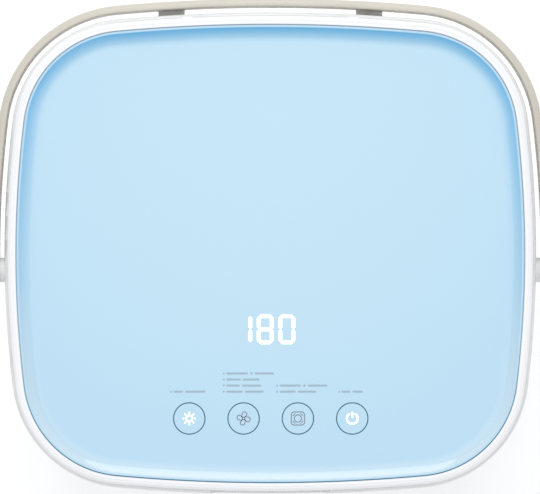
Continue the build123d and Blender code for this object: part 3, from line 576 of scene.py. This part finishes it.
class Plan:
    """The tank's plan outline: centres and turns of its arcs."""

    def __init__(self, sizes):
        self.half_width = high("lid_frame").x + sizes.lid_inset
        self.half_depth = -low("lid_frame").y + sizes.lid_inset
        self.side = sizes.side_bow
        self.end = sizes.end_bow
        self.corner = sizes.corner
        side_x0 = self.half_width - self.side
        end_y0 = self.half_depth - self.end
        apart = hypot(side_x0, end_y0)
        to_side = self.side - self.corner
        to_end = self.end - self.corner
        along = (to_side**2 - to_end**2 + apart**2) / (2 * apart)
        across = sqrt(to_side**2 - along**2)
        ux = -side_x0 / apart
        uy = end_y0 / apart
        self.cx = side_x0 + along * ux - across * uy
        self.cy = along * uy + across * ux
        self.side_turn = atan2(self.cy, self.cx - side_x0)
        self.end_start = atan2(self.cy - end_y0, self.cx)
        self.side_x0 = side_x0
        self.end_y0 = end_y0

    def point(self, inset, z, turn=0.0):
        """A point on the right-hand side, turned about that side's centre."""
        reach = self.side - inset
        return (self.side_x0 + reach * cos(turn), reach * sin(turn), z)

    def arcs(self, start=0.0):
        """The arcs round the back, and those on round the front, as centre, turn and steps."""
        bend = self.end_start - self.side_turn
        bow = pi - 2 * self.end_start
        rear = [
            ((self.side_x0, 0), self.side_turn - start, SIDE_STEPS),
            ((self.cx, self.cy), bend, ARC_STEPS),
            ((0, self.end_y0), bow, ARC_STEPS),
            ((-self.cx, self.cy), bend, ARC_STEPS),
        ]
        front = [
            ((-self.side_x0, 0), 2 * self.side_turn, 2 * SIDE_STEPS),
            ((-self.cx, -self.cy), bend, ARC_STEPS),
            ((0, -self.end_y0), bow, ARC_STEPS),
            ((self.cx, -self.cy), bend, ARC_STEPS),
            ((self.side_x0, 0), self.side_turn, SIDE_STEPS),
        ]
        return rear, front


def rounded_path(corners, closed):
    """Points of a profile whose corners, as (inset, z, radius), are rounded with arcs."""
    count = len(corners)
    path = []
    for i, (x, z, radius) in enumerate(corners):
        at_end = not closed and i in (0, count - 1)
        if radius <= 0 or at_end:
            path.append((x, z))
            continue
        here = Vector((x, z))
        before = Vector(corners[i - 1][:2]) - here
        after = Vector(corners[(i + 1) % count][:2]) - here
        half = before.angle(after) / 2
        reach = radius / tan(half)
        first = here + before.normalized() * reach
        last = here + after.normalized() * reach
        centre = here + (before.normalized() + after.normalized()).normalized() * (radius / sin(half))
        from_first = first - centre
        turn = -from_first.angle_signed(last - centre)
        steps = max(3, int(abs(turn) / FACET))
        for k in range(steps + 1):
            a = turn * k / steps
            path.append((centre.x + from_first.x * cos(a) - from_first.y * sin(a),
                         centre.y + from_first.x * sin(a) + from_first.y * cos(a)))
    return path


def sweep(name, plan, corners, closed=True, all_round=True, start=0.0):
    """Sweeps a profile of (inset, z, radius) corners along the outline by spinning it about each arc.

    It goes all the way round, or from a start angle on the right-hand side to the same place on the left.
    """
    path = rounded_path(corners, closed)
    points = [plan.point(inset, z, start) for inset, z in path]
    if closed:
        points.append(points[0])
    piece = start_point(name, points[0])
    draw_to(points[1:], points[0])
    if closed:
        bpy.ops.mesh.remove_doubles(threshold=MERGE_GAP)
    rear, front = plan.arcs(start)
    if not all_round:
        left_side = front[0][0]
        front = [(left_side, plan.side_turn - start, SIDE_STEPS)]
    for (x, y), turn, steps in rear + front:
        spin_round((x, y, 0), turn, steps)
    close_up()
    bpy.ops.object.mode_set(mode="OBJECT")
    return piece


# ---------------------------------------------------------------- flat marks


def rise(thickness):
    """Gives the open flat mark its thickness and closes the edit."""
    bpy.ops.mesh.select_all(action="SELECT")
    bpy.ops.mesh.remove_doubles(threshold=MERGE_GAP)
    bpy.ops.mesh.normals_make_consistent(inside=False)
    bpy.ops.mesh.extrude_region_move(TRANSFORM_OT_translate={"value": (0, 0, thickness)})
    bpy.ops.mesh.select_all(action="SELECT")
    bpy.ops.mesh.normals_make_consistent(inside=False)
    bpy.ops.object.mode_set(mode="OBJECT")


def arc_line(centre, radius, line, start, turn, steps, first=False, name="mark"):
    """A flat curved line about a centre, drawn as a short edge spun round it."""
    inner = radius - line / 2
    outer = radius + line / 2
    way = Vector((cos(start), sin(start), 0))
    begin = centre + way * inner
    if first:
        piece = start_point(name, begin)
    else:
        another_point(begin)
        piece = None
    bpy.ops.mesh.extrude_region_move(TRANSFORM_OT_translate={"value": way * (outer - inner)})
    bpy.ops.mesh.select_linked()
    spin_round(centre, turn, steps)
    return piece


def straight_line(a, b, line, rounding, first=False, name="mark", facets=4):
    """A flat bar from a to b with rounded corners, or pointed ones where facets is 1."""
    a = Vector(a)
    b = Vector(b)
    way = (b - a).normalized()
    side = Vector((-way.y, way.x, 0)) * line / 2
    if first:
        piece = start_point(name, a - side)
    else:
        another_point(a - side)
        piece = None
    bpy.ops.mesh.extrude_region_move(TRANSFORM_OT_translate={"value": 2 * side})
    bpy.ops.mesh.select_linked()
    bpy.ops.mesh.extrude_region_move(TRANSFORM_OT_translate={"value": b - a})
    bpy.ops.mesh.select_linked()
    if rounding:
        bpy.ops.mesh.bevel(offset=rounding, segments=facets, affect="VERTICES")
    return piece


def dot(at, size):
    """A small round dot, in the open mark."""
    at = Vector(at)
    half = Vector((size / 2, 0, 0))
    straight_line(at - half, at + half, size, size * 0.49)


# ---------------------------------------------------------------- shared by the operators


def settings(context):
    """The scene's sizes, mark sizes and colours."""
    scene = context.scene
    return scene.sterilizer_sizes, scene.sterilizer_marks, scene.sterilizer_colours


def joint_place(name):
    """A point on a joint's axis."""
    return Vector(next(j["pos_m"] for j in frame["joints"] if j["name"] == name))


finishes = {}


def deliver(piece, body, finish, replaced=(), sharpest=35):
    """Smooths a finished piece, gives it its finish and puts it on its body."""
    smooth(settle(piece), sharpest)
    piece.data.materials.clear()
    piece.data.materials.append(finish)
    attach(piece, body)
    if replaced:
        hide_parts(*replaced)


def dish_floor(sizes):
    """Height of the dish's flat floor."""
    return high("top_panel").z - sizes.dish_depth


# ---------------------------------------------------------------- operators


class STERILIZER_OT_finishes(bpy.types.Operator):
    """Mix every finish and give it to the CAD nodes that stay in view"""
    bl_idname = "sterilizer.finishes"
    bl_label = "Finishes"

    def execute(self, context):
        sizes, _, colours = settings(context)
        finishes.update({
            "tank_plastic": moulded("tank_white", tuple(colours.tank), 0.42, 0.7 * MM, 0.012 * MM),
            "lid_plastic": moulded("lid_white", tuple(colours.lid), 0.24, 0.9 * MM, 0.003 * MM, 0.25),
            # The panel's finish carries painted shade, painted light and a painted reflection.
            "blue_panel": panel_finish(colours, dish_floor(sizes), sizes.dish_depth),
            "handle_plastic": moulded("handle_grey", tuple(colours.handle), 0.38, 0.6 * MM, 0.01 * MM),
            "inner_plastic": moulded("inner_white", (0.72, 0.73, 0.74), 0.5, 0.8 * MM, 0.015 * MM),
            "black_plastic": moulded("black_nylon", (0.018, 0.018, 0.02), 0.45, 0.5 * MM, 0.02 * MM),
            "foot_rubber": rubbery("foot_rubber", (0.11, 0.11, 0.115), 0.85),
            "seal_silicone": rubbery("seal_silicone", (0.62, 0.63, 0.64), 0.5),
            "polished_steel": brushed_metal("polished_steel", (0.66, 0.67, 0.68), 0.2),
            "rack_wire": brushed_metal("rack_wire", (0.74, 0.75, 0.76), 0.16, (1, 1, 4), 2 * MM),
            "screw_steel": brushed_metal("screw_steel", (0.5, 0.5, 0.5), 0.3, (12, 1, 1), 1 * MM),
            "magnet_nickel": brushed_metal("magnet_nickel", (0.7, 0.68, 0.63), 0.22, (1, 1, 1), 3 * MM),
            "brass_pin": brushed_metal("brass_pin", (0.78, 0.58, 0.25), 0.25, (1, 12, 1), 1 * MM),
            "heater_aluminium": brushed_metal("heater_fins", (0.6, 0.61, 0.62), 0.38, (1, 20, 1), 3 * MM),
            "copper_winding": copper_finish(),
            "circuit_board": board_finish(),
            "lamp_chip": chip_finish(),
            "display_face": moulded("display_face", (0.01, 0.012, 0.015), 0.2, 2 * MM, 0.002 * MM, 0.5),
            "touch_foam": rubbery("touch_foam", (0.05, 0.05, 0.055), 0.95),
            "lamp_glass": window_finish(),
            "filter_foam": fleece_finish(),
            "bead": bead_finish(),
            "teal_ink": ink("teal_ink", tuple(colours.teal), 0.08),
            "grey_ink": ink("grey_ink", tuple(colours.grey_ink), 0.08),
            "caption_ink": ink("caption_ink", tuple(colours.caption), 0.06),
            "lit": glowing("lit_mark", tuple(colours.lit), 1.0),
        })
        for part in frame["record"]["subparts"]:
            node = frame["nodes"][part["node"]]
            node.data.materials.clear()
            node.data.materials.append(finishes[part["material_slot"]])
        return {"FINISHED"}


class STERILIZER_OT_panel(bpy.types.Operator):
    """Model the dished touch panel"""
    bl_idname = "sterilizer.panel"
    bl_label = "Touch panel"

    def execute(self, context):
        sizes = settings(context)[0]
        top = high("top_panel").z
        bottom = low("top_panel").z
        outer = sizes.lid_inset + sizes.rim_width + sizes.panel_gap
        floor = dish_floor(sizes)
        radius = sizes.dish_radius
        lip = outer + sizes.dish_lip
        swing = atan2(sqrt(radius**2 - (radius - sizes.dish_depth) ** 2), radius - sizes.dish_depth)
        foot_of_slope = lip + radius * sin(swing)
        bead = outer - sizes.panel_gap + 0.1 * MM
        thick = sizes.panel_thickness
        rounding = 0.3 * MM
        flat_edge = foot_of_slope + 14 * MM
        slope_steps = 14
        corners = [(flat_edge, floor, 0)]
        for k in range(slope_steps):
            a = swing * k / slope_steps
            corners.append((foot_of_slope - radius * sin(a), floor + radius * (1 - cos(a)), 0))
        corners += [
            (lip, top, rounding), (outer, top, rounding), (outer, top - sizes.panel_bead, 0),
            (bead, top - sizes.panel_bead, 0), (bead, bottom, 0), (outer + thick, bottom, 0),
            (outer + thick, floor - thick, 0), (flat_edge, floor - thick, 0),
        ]
        panel = sweep("touch_panel", Plan(sizes), corners, closed=False)
        deliver(panel, "lid", finishes["blue_panel"], ["top_panel"], 20)
        # The bead's flat faces take the painted gap shadow.
        panel.data.materials.append(finishes["bead"])
        for face in panel.data.polygons:
            if face.normal.z > 0.95 and abs(face.center.z - top + sizes.panel_bead) < 0.01 * MM:
                face.material_index = 1
        return {"FINISHED"}


class STERILIZER_OT_lid(bpy.types.Operator):
    """Model the lid's white frame with its hinge notches and bosses"""
    bl_idname = "sterilizer.lid"
    bl_label = "Lid frame"

    def execute(self, context):
        sizes = settings(context)[0]
        bottom = low("lid_frame").z
        top = high("lid_frame").z
        seat = low("top_panel").z
        outer = sizes.lid_inset
        drawn_in = outer + tan(sizes.lid_draft) * (top - bottom)
        inner = outer + sizes.wall
        pocket = outer + sizes.rim_width
        ledge = pocket + sizes.ledge_width
        ledge_bottom = seat - sizes.ledge_thickness
        line = drawn_in + 2.35 * MM
        corners = [
            (outer, bottom, 0.4 * MM), (drawn_in, top - 0.12 * MM, sizes.rim_round - 0.4 * MM),
            (line, top - 0.12 * MM, 0), (line + 0.1 * MM, top - 0.3 * MM, 0),
            (line + 0.3 * MM, top - 0.3 * MM, 0), (line + 0.4 * MM, top, 0.08 * MM),
            (pocket, top, 0.45 * MM), (pocket, seat, 0), (ledge, seat, 0.3 * MM),
            (ledge, ledge_bottom, 0.3 * MM), (inner, ledge_bottom, 0.8 * MM), (inner, bottom, 0.3 * MM),
        ]
        lid = sweep("lid_rim", Plan(sizes), corners)
        hinge = joint_place("lid_hinge")
        notch = sizes.hinge_notch
        boss = sizes.hinge_boss
        spread = sizes.hinge_spread
        back = -low("lid_frame").y - 1.6 * MM
        for side in (-1, 1):
            for end in (-1, 1):
                middle = side * spread + end * (notch + boss / 2)
                carve(lid, block("hinge_boss", (middle - boss / 2, hinge.y - 5 * MM, bottom + 3.4 * MM),
                                 (middle + boss / 2, back, ledge_bottom + 0.5 * MM), 0.6 * MM), "UNION")
        reach = sizes.hinge_reach
        wide = sizes.side_bow
        behind = 0.4
        swing = block("swing_room", (-wide, hinge.y, bottom - reach), (wide, behind, hinge.z))
        carve(swing, disc("swing", (0, hinge.y, hinge.z), reach, 3 * wide, steps=160))
        carve(lid, swing)
        knuckle_room = 4.8 * MM
        for side in (-1, 1):
            carve(lid, block("notch", (side * spread - notch, hinge.y - knuckle_room, bottom - reach),
                             (side * spread + notch, behind, hinge.z + knuckle_room)))
        deliver(lid, "lid", finishes["lid_plastic"], ["lid_frame"])
        return {"FINISHED"}


class STERILIZER_OT_handle(bpy.types.Operator):
    """Model the carrying handle and its pivot caps"""
    bl_idname = "sterilizer.handle"
    bl_label = "Handle"

    def execute(self, context):
        sizes = settings(context)[0]
        plan = Plan(sizes)
        pivot = joint_place("handle_pivot")
        outer = plan.half_depth - high("handle").y
        thick = sizes.handle_thickness
        inner = outer + thick
        half = sizes.handle_height / 2
        start = -atan2(-pivot.y, plan.side - outer)
        inner_round = 1.0 * MM
        corners = [(inner, pivot.z - half, inner_round), (outer, pivot.z - half, sizes.handle_round),
                   (outer, pivot.z + half, sizes.handle_round), (inner, pivot.z + half, inner_round)]
        handle = sweep("carry_handle", plan, corners, all_round=False, start=start)
        face = plan.point(outer, 0, start)[0]
        end_edge = 1.6 * MM
        hair = 0.02 * MM
        for side in (-1, 1):
            centre = (side * (face - thick / 2), pivot.y, pivot.z)
            carve(handle, disc("end", centre, sizes.handle_end, thick - hair, bevel=end_edge, steps=ROUND),
                  "UNION")
        recess_depth = 1.6 * MM
        recess_radius = sizes.cap_radius + 0.2 * MM
        cutter = 10 * MM
        for side in (-1, 1):
            centre = (side * (face - recess_depth + cutter / 2), pivot.y, pivot.z)
            carve(handle, disc("recess", centre, recess_radius, cutter, steps=ROUND))
        deliver(handle, "handle", finishes["handle_plastic"], ["handle"])
        caps = []
        for side in (-1, 1):
            centre = (side * (face - 0.8 * MM), pivot.y, pivot.z)
            cap = disc("pivot_cap", centre, sizes.cap_radius, sizes.cap_thickness, bevel=0.35 * MM,
                       steps=ROUND)
            rim = disc("ring", (side * (face - 0.2 * MM), pivot.y, pivot.z), 4.6 * MM, 0.5 * MM, steps=ROUND)
            carve(rim, disc("ring_bore", (side * face, pivot.y, pivot.z), 4.2 * MM, 4 * MM, steps=ROUND))
            carve(cap, rim)
            caps.append(cap)
        deliver(join(caps), "handle", finishes["handle_plastic"], ["pivot_caps"])
        return {"FINISHED"}


class STERILIZER_OT_seals(bpy.types.Operator):
    """Model the lid's seal and the foot ring"""
    bl_idname = "sterilizer.seals"
    bl_label = "Seal and foot"

    def execute(self, context):
        sizes = settings(context)[0]
        plan = Plan(sizes)
        base = low("lid_gasket").z
        top = high("lid_gasket").z
        outer = plan.half_width - high("lid_gasket").x
        width = sizes.seal_width
        lip = width / 4
        corners = [
            (outer, base, 0.2 * MM), (outer, base + 0.9 * MM, 0.3 * MM),
            (outer + lip, base + 1.2 * MM, 0.3 * MM), (outer + lip, top, 0.5 * MM),
            (outer + 3 * lip, top, 0.5 * MM), (outer + 3 * lip, base + 1.2 * MM, 0.3 * MM),
            (outer + width, base + 0.9 * MM, 0.3 * MM), (outer + width, base, 0.2 * MM),
        ]
        seal = sweep("lid_seal", plan, corners)
        deliver(seal, "tank", finishes["seal_silicone"], ["lid_gasket"])
        outer = plan.half_width - high("foot_ring").x
        width = sizes.foot_width
        top = high("foot_ring").z
        corners = [(outer, top, 0), (outer, 0, 1.2 * MM), (outer + 2.4 * MM, 0, 0.5 * MM),
                   (outer + 2.8 * MM, 0.7 * MM, 0.3 * MM), (outer + 4.2 * MM, 0.7 * MM, 0.3 * MM),
                   (outer + 4.6 * MM, 0, 0.5 * MM), (outer + width, 0, 1.2 * MM), (outer + width, top, 0)]
        foot = sweep("foot", plan, corners)
        deliver(foot, "tank", finishes["foot_rubber"], ["foot_ring"])
        return {"FINISHED"}


class STERILIZER_OT_buttons(bpy.types.Operator):
    """Mark the four touch circles and their icons on the panel"""
    bl_idname = "sterilizer.buttons"
    bl_label = "Touch circles and icons"

    def execute(self, context):
        sizes, marks, _ = settings(context)
        floor = dish_floor(sizes) - marks.ink / 2
        row = (low("touch_pads") + high("touch_pads")) / 2
        deep = high("touch_pads").y - low("touch_pads").y
        pitch = (high("touch_pads").x - low("touch_pads").x - deep) / 3
        places = [Vector(((i - 1.5) * pitch + 0.25 * MM, row.y - 0.35 * MM, floor)) for i in range(4)]
        rings = None
        for place in places:
            made = arc_line(place, marks.ring_radius, marks.ring_line, 0, 2 * pi, ROUND, rings is None,
                            "touch_circles")
            rings = rings or made
        rise(marks.ink)
        deliver(rings, "lid", finishes["teal_ink"])
        self.sun(places[0], marks)
        self.fan(places[1], marks)
        self.dryer(places[2], marks)
        self.power(places[3], marks)
        return {"FINISHED"}

    def sun(self, at, marks):
        """Heat: a small ring with eight rays, lit."""
        line = marks.lit_line
        icon = arc_line(at, 1.85 * MM, line, 0, 2 * pi, 48, True, "icon_heat")
        for k in range(8):
            way = Vector((cos(k * pi / 4), sin(k * pi / 4), 0))
            straight_line(at + way * 2.9 * MM, at + way * 4.0 * MM, line, line * 0.4)
        rise(marks.ink)
        deliver(icon, "lid", finishes["lit"])

    def fan(self, at, marks):
        """Drying air: four blades round a hub, unlit."""
        line = marks.icon_line
        icon = arc_line(at, 0.7 * MM, line, 0, 2 * pi, 32, True, "icon_air")
        for k in range(4):
            turn = k * pi / 2 + 1.35
            centre = at + Vector((cos(turn), sin(turn), 0)) * 2.55 * MM
            arc_line(centre, 1.4 * MM, line, turn - 0.85 * pi, 1.55 * pi, 36)
            along = Vector((cos(turn - 0.62), sin(turn - 0.62), 0))
            straight_line(at + along * 0.75 * MM, at + along * 2.1 * MM, line, 0)
        rise(marks.ink)
        deliver(icon, "lid", finishes["grey_ink"])

    def dryer(self, at, marks):
        """Storage: a rounded square round a ring, unlit."""
        line = marks.icon_line
        half = 3.9 * MM
        bend = 1.7 * MM
        icon = arc_line(at, 2.15 * MM, line, 0, 2 * pi, 48, True, "icon_store")
        for k in range(4):
            turn = k * pi / 2
            way = Vector((cos(turn), sin(turn), 0))
            side = Vector((-sin(turn), cos(turn), 0))
            straight_line(at + way * half - side * (half - bend), at + way * half + side * (half - bend),
                          line, 0)
            arc_line(at + (way + side) * (half - bend), bend, line, turn, pi / 2, 10)
            arc_line(at, 3.25 * MM, line * 0.8, turn + pi / 4 - 0.34, 0.68, 8)
        rise(marks.ink)
        deliver(icon, "lid", finishes["grey_ink"])

    def power(self, at, marks):
        """Power: an open ring and a bar, lit."""
        line = marks.lit_line * 1.2
        icon = arc_line(at, 3.2 * MM, line, pi / 2 + 0.5, 2 * pi - 1.0, 56, True, "icon_power")
        straight_line(at + Vector((0, 0.4 * MM, 0)), at + Vector((0, 3.9 * MM, 0)), line, line * 0.4)
        rise(marks.ink)
        deliver(icon, "lid", finishes["lit"])


class STERILIZER_OT_display(bpy.types.Operator):
    """Show the remaining minutes as lit seven-segment digits"""
    bl_idname = "sterilizer.display"
    bl_label = "Display digits"

    def execute(self, context):
        sizes, marks, _ = settings(context)
        display = (low("display_module") + high("display_module")) / 2
        wide = marks.digit_width / 2 - marks.digit_stroke / 2
        tall = marks.digit_height / 2 - marks.digit_stroke / 2
        gap = marks.digit_stroke * 0.06
        ends = {
            "a": ((-1, 1), (1, 1)), "b": ((1, 1), (1, 0)), "c": ((1, 0), (1, -1)), "d": ((-1, -1), (1, -1)),
            "e": ((-1, 0), (-1, -1)), "f": ((-1, 1), (-1, 0)), "g": ((-1, 0), (1, 0)),
        }
        lit = ["abcdef", "bc", "abdeg", "abcdg", "bcfg", "acdfg", "acdefg", "abc", "abcdefg", "abcdfg"]
        text = str(marks.count)
        digits = None
        for place, digit in enumerate(text):
            x = display.x + (place - (len(text) - 1) / 2) * marks.digit_pitch
            centre = Vector((x, display.y + 0.4 * MM, dish_floor(sizes) - marks.ink / 2))
            for segment in lit[int(digit)]:
                a, b = (centre + Vector((u * wide, v * tall, 0)) for u, v in ends[segment])
                way = (b - a).normalized() * gap
                made = straight_line(a + way, b - way, marks.digit_stroke, marks.digit_stroke * 0.46,
                                     digits is None, "display_digits", 1)
                digits = digits or made
        rise(marks.ink)
        deliver(digits, "lid", finishes["lit"])
        return {"FINISHED"}


class STERILIZER_OT_captions(bpy.types.Operator):
    """Stand-in captions: a dot and a plain bar for every line under a button"""
    bl_idname = "sterilizer.captions"
    bl_label = "Captions"

    def execute(self, context):
        sizes, marks, _ = settings(context)
        floor = dish_floor(sizes) - marks.ink / 2
        line = 1.2 * MM
        first_row = -82.1 * MM
        space = 1.3
        after_dot = 2.0
        # each block: its left edge, then the lengths of the bars in each row from the bottom, in millimetres
        blocks = (
            (-59.5, ((5.6, 12.0),)),
            (-28.1, ((9.6, 11.2), (8.0, 11.4), (8.4, 9.8), (12.8, 1.5, 11.2))),
            (3.6, ((9.4, 11.0), (12.6, 1.5, 11.6))),
            (40.5, ((5.0, 6.2),)),
        )
        dot_place = 0.4
        captions = None
        for start, rows in blocks:
            for row, words in enumerate(rows):
                y = first_row + row * marks.caption_pitch
                x = start + after_dot
                for word in words:
                    made = straight_line((x * MM, y, floor), ((x + word) * MM, y, floor), line, line * 0.3,
                                         captions is None, "captions")
                    captions = captions or made
                    x += word + space
                dot(((start + dot_place) * MM, y, floor), line)
        rise(marks.ink)
        deliver(captions, "lid", finishes["caption_ink"])
        return {"FINISHED"}


class STERILIZER_OT_stage(bpy.types.Operator):
    """Set up the floor, the lights and the camera"""
    bl_idname = "sterilizer.stage"
    bl_label = "Stage"

    def lamp(self, name, place, aim, size, power):
        """A soft round light aimed at a point."""
        stop_editing()
        bpy.ops.object.light_add(type="AREA", location=place)
        light = bpy.context.object
        light.name = name
        light.data.shape = "DISK"
        light.data.size = size
        light.data.energy = power
        light.visible_camera = False
        light.rotation_euler = (Vector(aim) - Vector(place)).to_track_quat("-Z", "Y").to_euler()

    def execute(self, context):
        stop_editing()
        under = 0.2 * MM
        bpy.ops.mesh.primitive_plane_add(size=14, location=(0, 0, low("foot_ring").z - under))
        floor = settle(bpy.context.object)
        floor.name = "studio_floor"
        r = Recipe("studio_floor")
        floor.data.materials.append(r.done(mottle(r, (0.95, 0.953, 0.957), 0.006, 0.4), Roughness=0.7,
                                           Emission_Color=(1, 1, 1, 1), Emission_Strength=0.16))
        aim = (0, 0, 0.2)
        self.lamp("window", (0, 2.2, 1.9), aim, 1.8, 23)
        self.lamp("overhead", (-0.25, 0.25, 2.6), aim, 2.2, 12)
        self.lamp("fill", (1.2, -2.4, 1.6), aim, 2.0, 4)
        world = bpy.data.worlds.new("studio")
        world.use_nodes = True
        sky = world.node_tree.nodes["Background"]
        sky.inputs["Color"].default_value = (0.96, 0.98, 1.0, 1)
        sky.inputs["Strength"].default_value = 0.70
        context.scene.world = world
        straight_above = (-0.2 * MM, 3.9 * MM, 2.479)
        bpy.ops.object.camera_add(location=straight_above, rotation=(0, 0, 0))
        camera = bpy.context.object
        camera.data.lens = 250
        camera.data.sensor_width = 36
        camera.data.clip_end = 50
        context.scene.camera = camera
        context.scene.view_settings.view_transform = "Standard"
        return {"FINISHED"}


steps = [
    STERILIZER_OT_finishes, STERILIZER_OT_panel, STERILIZER_OT_lid, STERILIZER_OT_handle,
    STERILIZER_OT_seals, STERILIZER_OT_buttons, STERILIZER_OT_display, STERILIZER_OT_captions,
    STERILIZER_OT_stage,
]


class STERILIZER_PT_panel(bpy.types.Panel):
    """Lists the sterilizer's operators and settings"""
    bl_idname = "STERILIZER_PT_panel"
    bl_label = "Bottle sterilizer"
    bl_space_type = "VIEW_3D"
    bl_region_type = "UI"
    bl_category = "Sterilizer"

    def draw(self, context):
        for step in steps:
            self.layout.operator(step.bl_idname)
        for group in settings(context):
            box = self.layout.box()
            for name in group.__annotations__:
                box.prop(group, name)


groups = {
    "sterilizer_sizes": SterilizerSizes,
    "sterilizer_marks": SterilizerMarks,
    "sterilizer_colours": SterilizerColours,
}


def register():
    """Adds the settings, operators and panel to Blender."""
    for group in groups.values():
        bpy.utils.register_class(group)
    for name, group in groups.items():
        setattr(bpy.types.Scene, name, PointerProperty(type=group))
    for step in steps + [STERILIZER_PT_panel]:
        bpy.utils.register_class(step)


def unregister():
    """Takes them out again."""
    for step in [STERILIZER_PT_panel] + steps[::-1]:
        bpy.utils.unregister_class(step)
    for name, group in groups.items():
        delattr(bpy.types.Scene, name)
        bpy.utils.unregister_class(group)


def main():
    """Makes the whole model in order."""
    register()
    for step in steps:
        getattr(bpy.ops.sterilizer, step.bl_idname.split(".")[1])()
    stop_editing()


if __name__ == "__main__":
    main()
